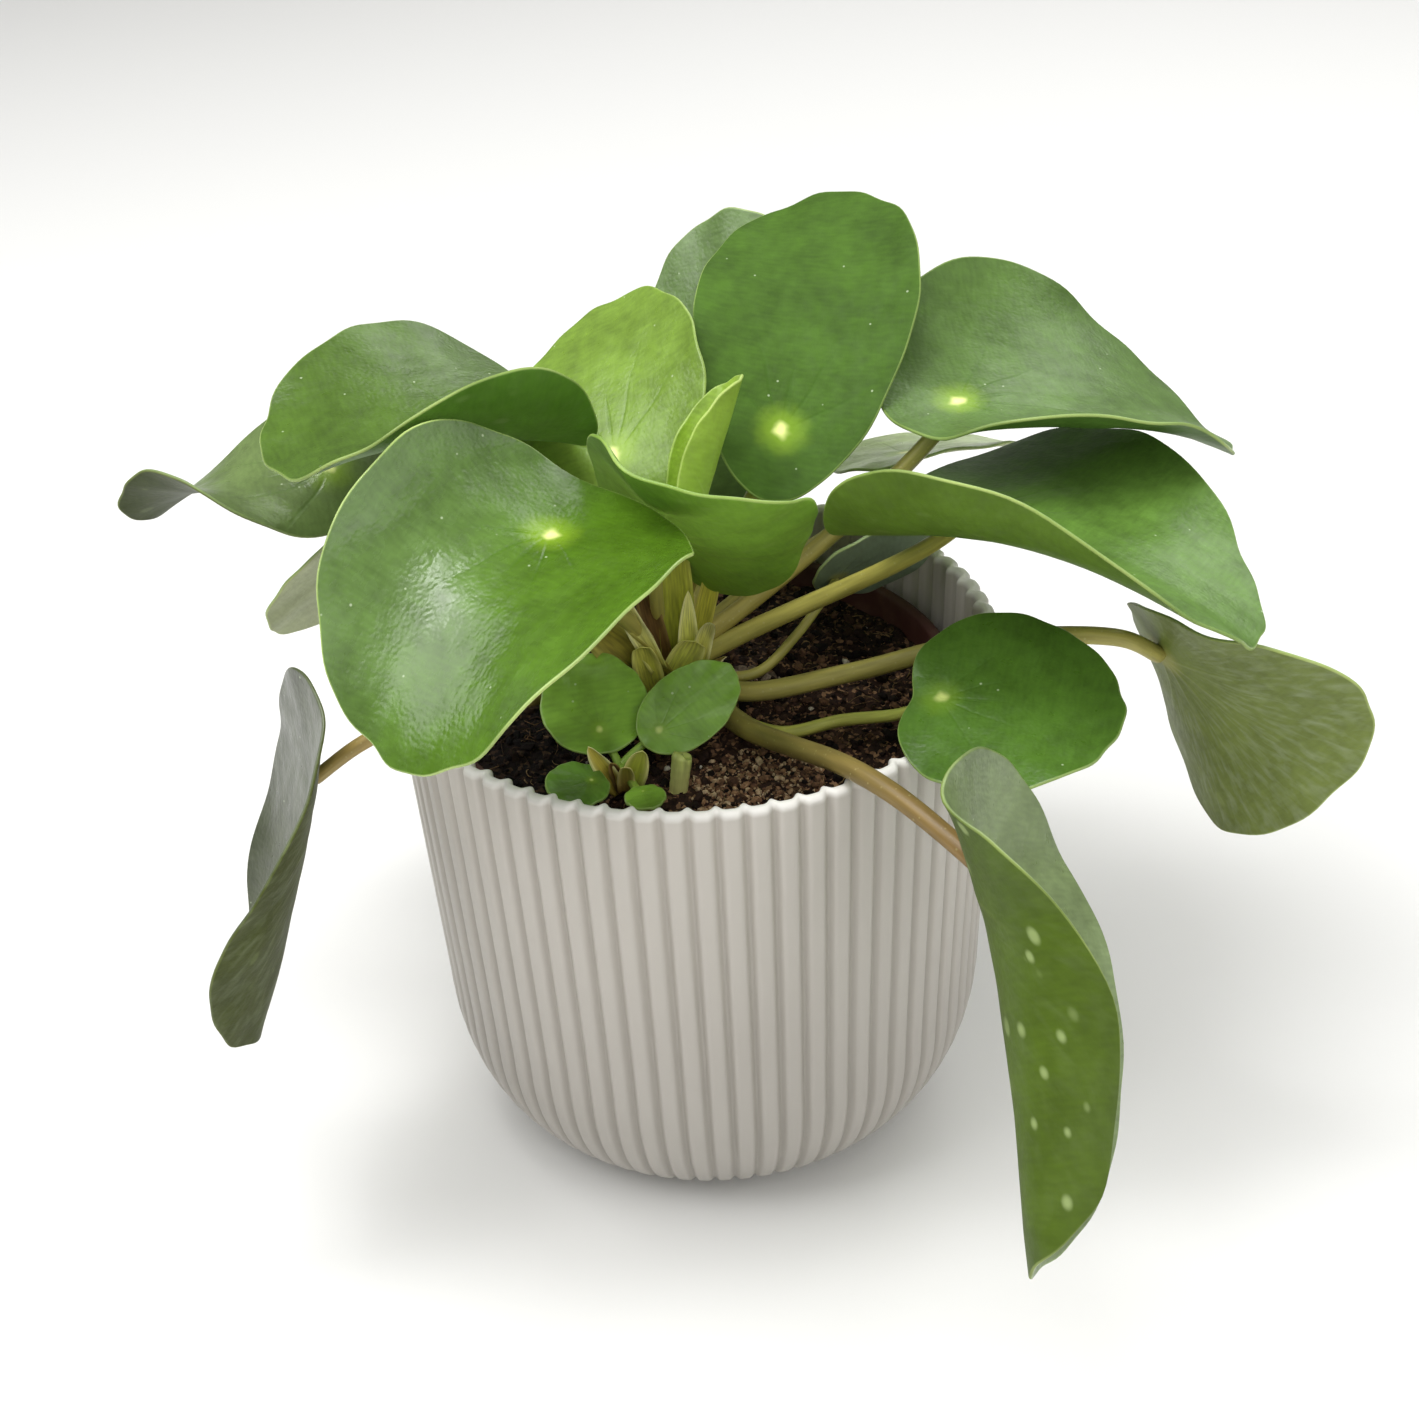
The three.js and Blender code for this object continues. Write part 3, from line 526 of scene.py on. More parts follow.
def tube(path, radii, sides, ripple=0.0):
    """A round section carried along a path, closed by a pole at each end. Each ring stands square to the path
    and is turned as little as its neighbours allow, from one reference direction."""
    ahead = unit(np.gradient(path, axis=0))
    span = unit(path[-1] - path[0])
    helper = np.array([0, 0, 1.0]) if abs(span[2]) < 0.8 else np.array([1.0, 0, 0])
    aside = unit(np.cross(ahead, unit(np.cross(span, helper))))
    above = np.cross(ahead, aside)
    angle = np.arange(sides) * 2 * np.pi / sides
    swell = 1 + ripple * np.cos(5 * angle)
    ring = np.cos(angle)[None, :, None] * aside[:, None, :] + np.sin(angle)[None, :, None] * above[:, None, :]
    points = path[:, None, :] + ring * (radii[:, None] * swell[None, :])[..., None]
    points = np.concatenate([points.reshape(-1, 3), path[:1], path[-1:]])
    rows, run = len(path), run_along(path)
    around = np.concatenate([np.tile(angle / (2 * np.pi), rows), [0, 0]])
    along = np.concatenate([np.repeat(run, sides), [0, run[-1]]])
    faces = [strip_faces(rows, sides), fan_faces(rows * sides, np.arange(sides), flip=True),
             fan_faces(rows * sides + 1, (rows - 1) * sides + np.arange(sides))]
    return points, faces, np.stack([around, along], -1)


def round_end(path, radii):
    """The radii with the last ones shrunk to a dome, so that the tube has no flat cap."""
    run = run_along(path)
    left = np.clip((run[-1] - run) / radii[-1], 0, 1)
    return radii * np.sqrt(np.clip(1 - (1 - left) ** 2, 0.0004, 1))


def join(parts):
    """One set of points, faces and per-point data from several."""
    first = 0
    points, quads, tris, extras = [], [], [], []
    for part_points, part_faces, *rest in parts:
        points.append(part_points)
        for group in part_faces:
            (quads if group.shape[1] == 4 else tris).append(group + first)
        extras.append(rest)
        first += len(part_points)
    faces = [np.concatenate(group) for group in (quads, tris) if group]
    return np.concatenate(points), faces, [np.concatenate(column) for column in zip(*extras)]


def blend_tints(codes, stops, share):
    """Colour along a length: hex codes at their shares of it, mixed in between."""
    colours = np.array([linear(code) for code in codes])
    return np.stack([np.interp(share, stops, colours[:, k]) for k in range(4)], -1)


def tube_tints(codes, stops, share, sides):
    """Colour along a tube: that of its rings, and of the poles at its foot and its end."""
    return blend_tints(codes, stops, np.concatenate([np.repeat(share, sides), [0, 1]]))


def make_stalks():
    """The stem and its stalks: each stalk is sheathed at its root, tapers to its blade and flares a little
    under the hub. The stem has ring scars, drawn as two sine waves."""
    parts = []
    for blade in BLADES:
        path = stalk_path(blade, 56)
        share = np.linspace(0, 1, len(path))
        radii = blade["radius"] * (1.12 - 0.28 * share + 0.45 * np.exp(-share / 0.05))
        radii = radii + blade["radius"] * 0.2 * np.exp(-(1 - share) / 0.025)
        tone = STALK_TONES.get(blade["name"], STALK_TONES["usual"])
        parts.append((*tube(path, round_end(path, radii), 14, ripple=0.02),
                      tube_tints(tone, STALK_STOPS, share, 14)))
    share = np.linspace(0, 1, 60)
    height = np.linspace(STEM_BOTTOM, STEM_TOP, 60)
    scar = 0.25 * np.sin(height * 2.1) + 0.15 * np.sin(height * 5.3)
    path = np.stack([np.full(60, STEM_PLACE[0]), np.full(60, STEM_PLACE[1]), height], -1).astype(float)
    radii = STEM_RADIUS * (1 - 0.2 * share) + scar
    parts.append((*tube(path, round_end(path, radii), 28), tube_tints(("a89c54",), (0,), share, 28)))
    points, faces, (uv, tints) = join(parts)
    make_piece("stem_and_stalks", points, faces, [PETIOLE], uv=uv, tints=tints,
               stands_for=["main_stem_with_stalks"])


def scale_sheet(length, width, foot, heading, lean, curl, tint, tilt=0.0, blunt=0.8, rows=18, columns=11):
    """A papery scale: a strip that narrows to its tip, hollow across, bent outward from foot to tip and
    crimped along its pale edges, with a back 0.25 mm behind. tilt swings it sideways, to the right seen from
    outside."""
    up, across = np.meshgrid(np.linspace(0, 1, rows), np.linspace(-1, 1, columns), indexing="ij")
    half = width / 2 * np.sin(np.pi * np.clip(up * 0.8 + 0.2, 0, 1)) ** blunt + 0.05
    bend = lean + curl * up ** 2
    out = length * np.cumsum(np.sin(bend), axis=0) / rows
    high = length * np.cumsum(np.cos(bend), axis=0) / rows
    side = across * half
    crimp = np.sin(11 * up + 3 * across + 5 * heading + length)
    hollow = -0.45 * half * (1 - across ** 2) + 0.25 * across ** 2 * crimp
    side, high = side * math.cos(tilt) + high * math.sin(tilt), high * math.cos(tilt) - side * math.sin(tilt)
    front = np.stack([out + hollow, side, high], -1)
    back = front + np.array([-0.25, 0, 0])
    turn = np.array([[math.cos(heading), math.sin(heading), 0], [-math.sin(heading), math.cos(heading), 0],
                     [0, 0, 1]])
    points = np.concatenate([front.reshape(-1, 3), back.reshape(-1, 3)]) @ turn + np.array(foot)
    count = rows * columns
    faces = [strip_faces(rows, columns, closed=False),
             strip_faces(rows, columns, count, closed=False)[:, ::-1]]
    edge = np.concatenate([np.arange(columns), np.arange(2, rows) * columns - 1,
                           count - 1 - np.arange(columns), np.arange(rows - 2, 0, -1) * columns])
    beside = np.roll(edge, -1)
    faces.append(np.stack([edge, edge + count, beside + count, beside], -1))
    uv = np.tile(np.stack([across.ravel() * 0.5 + 0.5, up.ravel() * length], -1), (2, 1))
    tints = blend_tints(tint[:3], (0, 0.6, 1), np.tile(up.ravel(), 2))
    pale = np.tile((smooth(0.45, 1, np.abs(across)) * smooth(0.1, 0.5, up) * 0.8).ravel(), 2)[:, None]
    tints = tints * (1 - pale) + np.array(linear(tint[3])) * pale
    return points, faces, uv, tints


# The scales that face the front: foot, tilt to the left in degrees, lean and curl in radians, length, width,
# bluntness, and the colours at the foot, at 0.6 of the length, at the tip and along the edges
FRONT_SCALES = [
    ((-4.2, -2.5, 113.9), -1, 0.03, 0, 38, 8.0, 0.2, ("a8b038", "a0a434", "9a9e38", "acae44")),
    ((-1.9, 2.0, 113.1), -14, 0, 0, 37, 4.5, 0.3, ("aaa838", "b2ae3a", "b6b040", "c2ba54")),
    ((-7.3, -3.5, 117.0), 9, 0.03, 0.05, 27, 5.6, 0.4, ("6e5428", "5e441e", "6e5228", "8c7440")),
    ((-7.8, -8.5, 116.5), 37, 0.1, 0.1, 26, 10.8, 0.25, ("a29a38", "918632", "86782e", "aaa250")),
    ((-8.0, -9.5, 120.9), 21, 0.05, -0.1, 25, 4.7, 0.35, ("bebc5c", "ccca7c", "d8d48c", "e4e0a8")),
    ((-2.4, -5.5, 114.1), -3, 0.02, -0.1, 26, 4.7, 0.7, ("c0c054", "cccc68", "dcd88c", "e6e2a4")),
    ((-1.0, -5.0, 115.3), -13, 0.03, 0.8, 22, 4.2, 0.4, ("bcbc4c", "d0ce70", "e0dc98", "e8e4ac")),
    ((-8.1, -6.6, 111.4), -24, 0.05, 0.25, 20, 8.0, 0.2, ("c0c850", "c8ce58", "cccc60", "dcd880")),
    ((-9.8, -9.8, 113.7), 8, 0.05, 0.25, 17, 6.6, 0.25, ("b8ba46", "b8b848", "b8b450", "ccc870")),
]
BUD_SCALES = [
    ((-17.0, -36.5, 107.8), 14, 0.1, 0.2, 10.5, 3.3, 0.4, ("6d5328", "5a401f", "70532b", "a68c4e")),
    ((-17.5, -37.0, 107.7), 25, 0.1, -0.2, 15.8, 4.7, 0.6, ("a6933b", "cab94e", "dcca61", "f5f5b7")),
    ((-16.6, -37.0, 108.1), -17, 0.1, 0.1, 13.7, 5.6, 0.5, ("959f3b", "b7c04a", "cace61", "f5efa4")),
    ((-17.0, -37.5, 108.5), -4, 0.2, 0.5, 11.1, 3.8, 0.4, ("806632", "a69a45", "b7ad4a", "efe19a")),
]


STIPULE_TONES = (("a09444", "b2a85c", "a08a4c", "e6e0b4"), ("b4ae60", "cac488", "beb074", "f0eaca"),
                 ("8c7a38", "98864a", "7c6434", "cec494"))


def front_sheets(rows):
    """The scales of a table, facing the front."""
    return [scale_sheet(length, width, foot, -math.pi / 2, lean, curl, tint, math.radians(-tilt), blunt)
            for foot, tilt, lean, curl, length, width, blunt, tint in rows]


def make_stipules():
    """The dry scales that sheathe the stalks on the stem: olive at the foot, cream along the edges. Those at
    the back and the sides are drawn at random, by turns low on the stem and among the stalks above it."""
    draw = np.random.default_rng(11)
    parts = []
    for i in range(22):
        low = i % 2
        heading = i * 2.4 + 0.3
        if math.sin(heading) < -0.3:
            continue
        out = STEM_RADIUS * (draw.uniform(0.85, 1.05) if low else draw.uniform(0.35, 0.7))
        height = draw.uniform(108.5, 110.5) if low else draw.uniform(114, 118)
        foot = (STEM_PLACE[0] + out * math.cos(heading), STEM_PLACE[1] + out * math.sin(heading), height)
        lean = draw.uniform(0.45, 0.9) if low else draw.uniform(0.05, 0.35)
        length, width = draw.uniform(10, 14.5), draw.uniform(4.5, 7.5)
        curl = draw.uniform(-0.5, 0.6)
        parts.append(scale_sheet(length, width, foot, heading, lean, curl, STIPULE_TONES[i % 3]))
    points, faces, (uv, tints) = join(parts + front_sheets(FRONT_SCALES))
    make_piece("stipules", points, faces, [STIPULE], uv=uv, tints=tints)


def make_sprout():
    """The young plant's stem, its short stalks and the folded buds at its tip."""
    foot = np.array([*SPROUT_PLACE, STEM_BOTTOM], float)
    top = np.array([*SPROUT_PLACE, SPROUT_TOP], float)
    share = np.linspace(0, 1, 24)
    path = foot + (top - foot) * share[:, None]
    radii = SPROUT_RADIUS * (1.05 - 0.2 * share)
    parts = [(*tube(path, round_end(path, radii), 16), tube_tints(("7f9a3e",), (0,), share, 16))]
    root = top - [0, 0, 2]
    share = np.linspace(0, 1, 26)
    for blade in SPROUT_BLADES:
        _, _, face = blade_axes(blade)
        end = np.array(blade["at"], float) - face * SPROUT_GAP
        path = bezier(root, root + [0, 0, SPROUT_REACH], end - face * SPROUT_REACH, end, share)
        radii = np.full(26, SPROUT_STALK_RADIUS)
        parts.append((*tube(path, round_end(path, radii), 10), tube_tints(("8fae48",), (0,), share, 10)))
    points, faces, (uv, tints) = join(parts + front_sheets(BUD_SCALES))
    make_piece("sprout_stem_and_buds", points, faces, [PETIOLE], uv=uv, tints=tints,
               stands_for=["sprout_stem"])


def make_stub():
    """What is left of a cut stalk: pale, a little waisted, leaning to the right and back by powers of its
    height, with a flat dry end made of its last three rings."""
    share = np.linspace(0, 1, 40)
    path = np.stack([STUB_PLACE[0] - STUB_FOOT_SHIFT + STUB_LEAN[0] * share ** 1.5,
                     STUB_PLACE[1] + STUB_LEAN[1] * share ** 2,
                     STEM_BOTTOM + (STUB_TOP - STEM_BOTTOM) * share], -1)
    path[-3:, 2] = STUB_TOP - np.array([0.25, 0.02, 0.0])
    radii = STUB_RADIUS * (1 - 0.12 * np.sin(np.pi * share) + 0.015 * np.sin(share * 60))
    radii[-3:] = radii[-3:] * np.array([0.97, 0.86, 0.3])
    points, faces, uv = tube(path, radii, 20)
    tints = tube_tints(("dcd890", "d4d084", "bcc474", "a4b05c"), (0, 0.5, 0.9, 1), share, 20)
    make_piece("stalk_stub", points, faces, [PETIOLE], uv=uv, tints=tints,
               stands_for=["stem_stub"])


# Pots

def pot_radius(height):
    """Outside radius: a slight taper down to the shoulder, then a rounding in to the base."""
    up = (height - SHOULDER_HEIGHT) / (POT_HEIGHT - SHOULDER_HEIGHT)
    down = 1 - np.clip(height / SHOULDER_HEIGHT, 0, 1)
    rounded = BASE_RADIUS + (SHOULDER_RADIUS - BASE_RADIUS) * np.sqrt(1 - down ** BASE_CURVE)
    return np.where(height >= SHOULDER_HEIGHT, SHOULDER_RADIUS + (RIM_RADIUS - SHOULDER_RADIUS) * up, rounded)


def half_turn(middle, across, top, up, steps):
    """Radii and heights of half an ellipse over the top of a wall, from its outside to its inside."""
    turns = np.linspace(0, np.pi, steps)
    return [(middle + across * math.cos(turn), top - up + up * math.sin(turn)) for turn in turns]


def make_outer_pot():
    """The wall's profile goes out from the axis under the base, up the outside, round the rim and down
    inside. Each rib is drawn in toward its two grooves by a raised cosine."""
    rim_foot = POT_HEIGHT - RIM_ROUND
    curve = SHOULDER_HEIGHT * np.linspace(0, 1, 18) ** 1.8
    low = [(pot_radius(z), max(z, 0.35)) for z in curve]
    wall = [(pot_radius(z), z) for z in np.linspace(SHOULDER_HEIGHT, rim_foot, 9)[1:]]
    rim = half_turn(RIM_RADIUS - RIM_ROUND, RIM_ROUND, POT_HEIGHT, RIM_ROUND, 11)[1:-1]
    heights = (*np.linspace(rim_foot, SHOULDER_HEIGHT, 9), 30, 20, 12, 7, 4)
    inside = [(pot_radius(z) - WALL, z) for z in heights]
    profile = [(0, 0), (FOOT_RADIUS - 6, 0), (FOOT_RADIUS, 0), *low, *wall, *rim, *inside]
    profile += [(pot_radius(3) - WALL - 1, WALL), (20, WALL), (0, WALL)]
    points, faces = lathe(profile, FLUTES * FLUTE_COLUMNS)
    radius = np.hypot(points[:, 0], points[:, 1])
    angle = np.arctan2(points[:, 0], -points[:, 1]) - FIRST_GROOVE
    groove = ((1 + np.cos(angle * FLUTES)) / 2) ** FLUTE_SHARPNESS
    depth = FLUTE_DEPTH / RIM_RADIUS * groove * smooth(FOOT_RADIUS + 0.3, FOOT_RADIUS + 3.5, radius)
    points[:, :2] *= (1 - depth)[:, None]
    make_piece("fluted_pot", points, faces, [MOULDED_WHITE], values={"groove": groove},
               stands_for=["outer_pot"])


def make_nursery_pot():
    """A thin tapered pot with a rolled lip."""
    def wall_radius(height):
        up = (height - NURSERY_BASE) / (NURSERY_TOP - NURSERY_BASE)
        return NURSERY_BASE_RADIUS + (NURSERY_RIM_RADIUS - NURSERY_BASE_RADIUS) * up

    foot = NURSERY_TOP - LIP_HEIGHT
    floor = NURSERY_BASE + NURSERY_WALL
    middle = NURSERY_RIM_RADIUS + (LIP_WIDTH - NURSERY_WALL) / 2
    roll = half_turn(middle, (LIP_WIDTH + NURSERY_WALL) / 2, NURSERY_TOP, LIP_ROUND, 9)
    outside = [(wall_radius(z), z) for z in np.linspace(NURSERY_BASE + 0.8, foot, 6)]
    skirt = [(wall_radius(foot) + LIP_WIDTH, foot), (wall_radius(foot) + LIP_WIDTH, foot + 0.4)]
    inside = [(wall_radius(z) - NURSERY_WALL, z) for z in np.linspace(NURSERY_TOP - 1.5, 6, 8)]
    profile = [(0, NURSERY_BASE), (NURSERY_BASE_RADIUS - 1, NURSERY_BASE), *outside, *skirt, *roll, *inside]
    points, faces = lathe([*profile, (NURSERY_BASE_RADIUS - 3, floor), (0, floor)], 160)
    make_piece("thin_nursery_pot", points, faces, [MOULDED_BROWN],
               stands_for=["nursery_pot"])


# Soil

def soil_height(x, y):
    """A mound round the stem, two crossed ripples and noise that gets finer and lower."""
    away = np.hypot(x - STEM_PLACE[0], y - STEM_PLACE[1]) / MOUND_RADIUS
    ripple = np.sin(x * 0.21 + y * 0.09) + np.sin(y * 0.27 - x * 0.13)
    form = SOIL_LEVEL + SOIL_MOUND * np.exp(-away ** 2) + SOIL_RELIEF * ripple / 2
    lumps = 1.1 * noise(x, y, 9, 1) + 0.8 * np.abs(noise(x, y, 4, 2)) + 0.45 * noise(x, y, 1.9, 3)
    return form + lumps + 0.25 * noise(x, y, 0.9, 4) - 0.4


def dryness_and_shade(x, y):
    """High where the peat's top is dry and pale, low at the left and at the back, where it is darkened as wet
    peat and as painted shade."""
    wander = 7 * noise(x, y, 14, 6)
    left = smooth(-34, -12, x + wander)
    back = 1 - 0.6 * smooth(4, 30, y + wander)
    return 0.25 + 0.95 * left * back


def make_soil():
    """The peat: a plug that fills the nursery pot, with its top raised by soil_height."""
    rings = SOIL_RADIUS * np.linspace(1, 0, 112)[:-1]
    profile = [(0, SOIL_BOTTOM), (SOIL_BASE_RADIUS, SOIL_BOTTOM), (SOIL_SIDE_RADIUS, SOIL_LEVEL - 8)]
    profile += [(SOIL_RADIUS, SOIL_LEVEL - 1), *((radius, SOIL_LEVEL) for radius in rings), (0, SOIL_LEVEL)]
    points, faces = lathe(profile, 300)
    top = points[:, 2] > SOIL_LEVEL - 0.5
    points[top, 2] = soil_height(points[top, 0], points[top, 1])
    make_piece("peat", points, faces, [PEAT], stands_for=["soil"],
               values={"dryness_and_shade": dryness_and_shade(points[:, 0], points[:, 1])})


# A lump is a regular solid with twelve corners and twenty faces
GOLDEN = (1 + 5 ** 0.5) / 2
LUMP = unit(np.array([(-1, GOLDEN, 0), (1, GOLDEN, 0), (-1, -GOLDEN, 0), (1, -GOLDEN, 0), (0, -1, GOLDEN),
                      (0, 1, GOLDEN), (0, -1, -GOLDEN), (0, 1, -GOLDEN), (GOLDEN, 0, -1), (GOLDEN, 0, 1),
                      (-GOLDEN, 0, -1), (-GOLDEN, 0, 1)]))
LUMP_FACES = np.array([(0, 11, 5), (0, 5, 1), (0, 1, 7), (0, 7, 10), (0, 10, 11), (1, 5, 9), (5, 11, 4),
                       (11, 10, 2), (10, 7, 6), (7, 1, 8), (3, 9, 4), (3, 4, 2), (3, 2, 6), (3, 6, 8),
                       (3, 8, 9), (4, 9, 5), (2, 4, 11), (6, 2, 10), (8, 6, 7), (9, 8, 1)])


def scattered(draw, count, centre, spread):
    """Places spread evenly over a round patch: the square root of an even draw along even turns."""
    radius = spread * np.sqrt(draw.uniform(0, 1, count))
    turn = draw.uniform(0, 2 * np.pi, count)
    return centre[0] + radius * np.cos(turn), centre[1] + radius * np.sin(turn)


def picked(draw, count, codes):
    """One of the colours for each."""
    return np.array([linear(code) for code in codes])[draw.integers(0, len(codes), count)]


def turned(lumps, first, second, angle):
    """Each lump turned by its angle, in the plane of two axes."""
    result = lumps.copy()
    cos, sin = np.cos(angle)[:, None], np.sin(angle)[:, None]
    result[..., first] = lumps[..., first] * cos - lumps[..., second] * sin
    result[..., second] = lumps[..., first] * sin + lumps[..., second] * cos
    return result


def scatter_lumps(name, count, sizes, flat, codes, seed, centre=(0, 0), spread=SOIL_RADIUS - 2):
    """Crumbs: twelve-cornered lumps, stretched, flattened, dented, leaned and spun at random, and laid on a
    round patch of peat. Small ones are many, because the size follows the cube of an even draw."""
    draw = np.random.default_rng(seed)
    x, y = scattered(draw, count, centre, spread)
    size = sizes[0] + (sizes[1] - sizes[0]) * draw.uniform(0, 1, count) ** 3
    stretch = [draw.uniform(0.6, 1.5, count), draw.uniform(0.6, 1.1, count), np.full(count, flat)]
    dents = draw.uniform(0.7, 1.25, (count, 12, 1))
    lumps = LUMP[None] * dents * (size[:, None] * np.stack(stretch, -1))[:, None, :]
    lumps = turned(lumps, 0, 2, draw.uniform(-0.7, 0.7, count))
    lumps = turned(lumps, 0, 1, draw.uniform(0, 2 * np.pi, count))
    lumps += np.stack([x, y, soil_height(x, y) + LUMP_LIFT * size], -1)[:, None, :]
    faces = (LUMP_FACES[None] + 12 * np.arange(count)[:, None, None]).reshape(-1, 3)
    # The crumbs darken at the left and the back like the peat, as wet peat and as painted shade
    colours = picked(draw, count, codes) * dryness_and_shade(x, y)[:, None]
    piece = make_piece(name, lumps.reshape(-1, 3), [faces], [CRUMB],
                       tints=np.repeat(colours, 12, axis=0))
    piece.data.shade_flat()


def make_fibres(count=420, rings=6):
    """Peat and root fibres: three-sided threads, bent to one side, that arch over the crumbs as a
    parabola."""
    draw = np.random.default_rng(21)
    start_x, start_y = scattered(draw, count, (0, 0), SOIL_RADIUS - 3)
    heading = draw.uniform(0, 2 * np.pi, count)[:, None]
    length = 2 + 7 * draw.uniform(0, 1, count)[:, None] ** 2
    share = np.linspace(-0.5, 0.5, rings)
    bent = heading + draw.uniform(-1.4, 1.4, count)[:, None] * share
    x = start_x[:, None] + length * share * np.cos(bent)
    y = start_y[:, None] + length * share * np.sin(bent)
    past = np.clip(np.hypot(x, y) / (SOIL_RADIUS - 1), 1, None)
    x, y = x / past, y / past
    z = soil_height(x, y) + 0.25 + draw.uniform(0, 1.2, count)[:, None] * (0.25 - share ** 2) * 2
    thick = draw.uniform(0.08, 0.2, count)[:, None, None, None]
    sides = np.radians([90, 210, 330])[:, None]
    aside = np.stack([-np.sin(heading), np.cos(heading), np.zeros_like(heading)], -1)[:, :, None, :]
    ring = np.cos(sides) * aside + np.sin(sides) * np.array([0, 0, 1.0])
    points = (np.stack([x, y, z], -1)[:, :, None, :] + thick * ring).reshape(-1, 3)
    caps = np.array([[0, 2, 1], [3 * rings - 3, 3 * rings - 2, 3 * rings - 1]])
    offset = 3 * rings * np.arange(count)[:, None, None]
    faces = [(strip_faces(rings, 3)[None] + offset).reshape(-1, 4), (caps[None] + offset).reshape(-1, 3)]
    tints = np.repeat(picked(draw, count, ("6a5238", "8a7350", "3b2a1e")), 3 * rings, axis=0)
    make_piece("peat_fibres", points, faces, [CRUMB], tints=tints)


# Finishes. Object coordinates are in metres, and a blade's and a stalk's own coordinates in millimetres.

COLOUR = {"data_type": "RGBA", "out": 2}
SOFT = {"interpolation_type": "SMOOTHSTEP"}


def add(tree, kind, inputs=None, out=0, **settings):
    """Adds a node with its settings. inputs gives each socket a value or a link, and the output asked for is
    handed back, from a node that has one."""
    node = tree.nodes.new("ShaderNode" + kind)
    for key, value in settings.items():
        setattr(node, key, value)
    for key, value in (inputs or {}).items():
        if isinstance(value, bpy.types.NodeSocket):
            tree.links.new(value, node.inputs[key])
        else:
            node.inputs[key].default_value = value
    return node.outputs[out] if len(node.outputs) else None


def new_finish(name):
    """An empty material and its nodes."""
    finish = bpy.data.materials.new(name)
    finish.use_nodes = True
    finish.node_tree.nodes.clear()
    return finish, finish.node_tree


def close_finish(finish, inputs):
    """Puts a shader with these inputs on the material's output."""
    shader = add(finish.node_tree, "BsdfPrincipled", inputs)
    add(finish.node_tree, "OutputMaterial", {"Surface": shader})
    return finish


def shaded(tree, colour, shade):
    """The colour times a grey, which darkens it below 1 and lightens it above."""
    grey = add(tree, "CombineColor", {"Red": shade, "Green": shade, "Blue": shade})
    return add(tree, "Mix", {"Factor": 1.0, "A": colour, "B": grey}, blend_type="MULTIPLY", **COLOUR)


def moulded_white():
    """Polypropylene, injection moulded with a satin face: white with a trace of warm grey, soft broad
    highlights, and a very fine grain that only breaks up the gloss. Painted shade makes it greyer toward the
    foot and darkens the grooves, painted light makes it paler toward the top, and a painted highlight lays a
    pale line along the rim."""
    finish, tree = new_finish("polypropylene_moulded_white")
    place = add(tree, "TexCoord", out="Object")
    drift = add(tree, "TexNoise", {"Vector": place, "Scale": 1 / 0.04, "Detail": 2.0}, out="Fac")
    colour = add(tree, "Mix", {"Factor": drift, "A": linear("c0bbb3"), "B": linear("b6b0a8")}, **COLOUR)
    groove = add(tree, "Attribute", out="Fac", attribute_name="groove")
    # Painted shade darkens the grooves toward a warm grey
    dust_and_shade = add(tree, "MapRange", {"Value": groove, "From Min": 0.2, "From Max": 0.9, "To Max": 0.3})
    colour = add(tree, "Mix", {"Factor": dust_and_shade, "A": colour, "B": linear("8f897c")}, **COLOUR)
    # Painted shade makes the wall greyer toward the foot, and painted light paler toward the rim
    height = add(tree, "SeparateXYZ", {"Vector": place}, out="Z")
    shade = add(tree, "MapRange", {"Value": height, "From Min": 0.03, "From Max": 0.12,
                                   "To Min": 0.82, "To Max": 1.12})
    colour = shaded(tree, colour, shade)
    # A painted highlight lays a near-white line along the top of the rim
    rim = add(tree, "MapRange", {"Value": height, "From Min": 0.1232, "From Max": 0.1246, "To Max": 0.8})
    colour = add(tree, "Mix", {"Factor": rim, "A": colour, "B": linear("efede8")}, **COLOUR)
    grain = add(tree, "TexNoise", {"Vector": place, "Scale": 1 / 0.0012, "Detail": 2.0}, out="Fac")
    rough = add(tree, "MapRange", {"Value": grain, "To Min": 0.4, "To Max": 0.5})
    bump = add(tree, "Bump", {"Strength": 0.25, "Distance": 0.00004, "Height": grain})
    return close_finish(finish, {"Base Color": colour, "Roughness": rough, "Normal": bump, "IOR": 1.49})


def moulded_brown():
    """Recycled polypropylene, thin and moulded: a dull reddish brown with a dusty film."""
    finish, tree = new_finish("polypropylene_moulded_brown")
    place = add(tree, "TexCoord", out="Object")
    dust_and_shade = add(tree, "TexNoise", {"Vector": place, "Scale": 1 / 0.007, "Detail": 5.0,
                                  "Roughness": 0.6}, out="Fac")
    cover = add(tree, "MapRange", {"Value": dust_and_shade, "From Min": 0.45, "From Max": 0.75})
    colour = add(tree, "Mix", {"Factor": cover, "A": linear("42201a"), "B": linear("54382c")}, **COLOUR)
    bump = add(tree, "Bump", {"Strength": 0.3, "Distance": 0.0001, "Height": dust_and_shade})
    return close_finish(finish, {"Base Color": colour, "Roughness": 0.6, "Normal": bump})


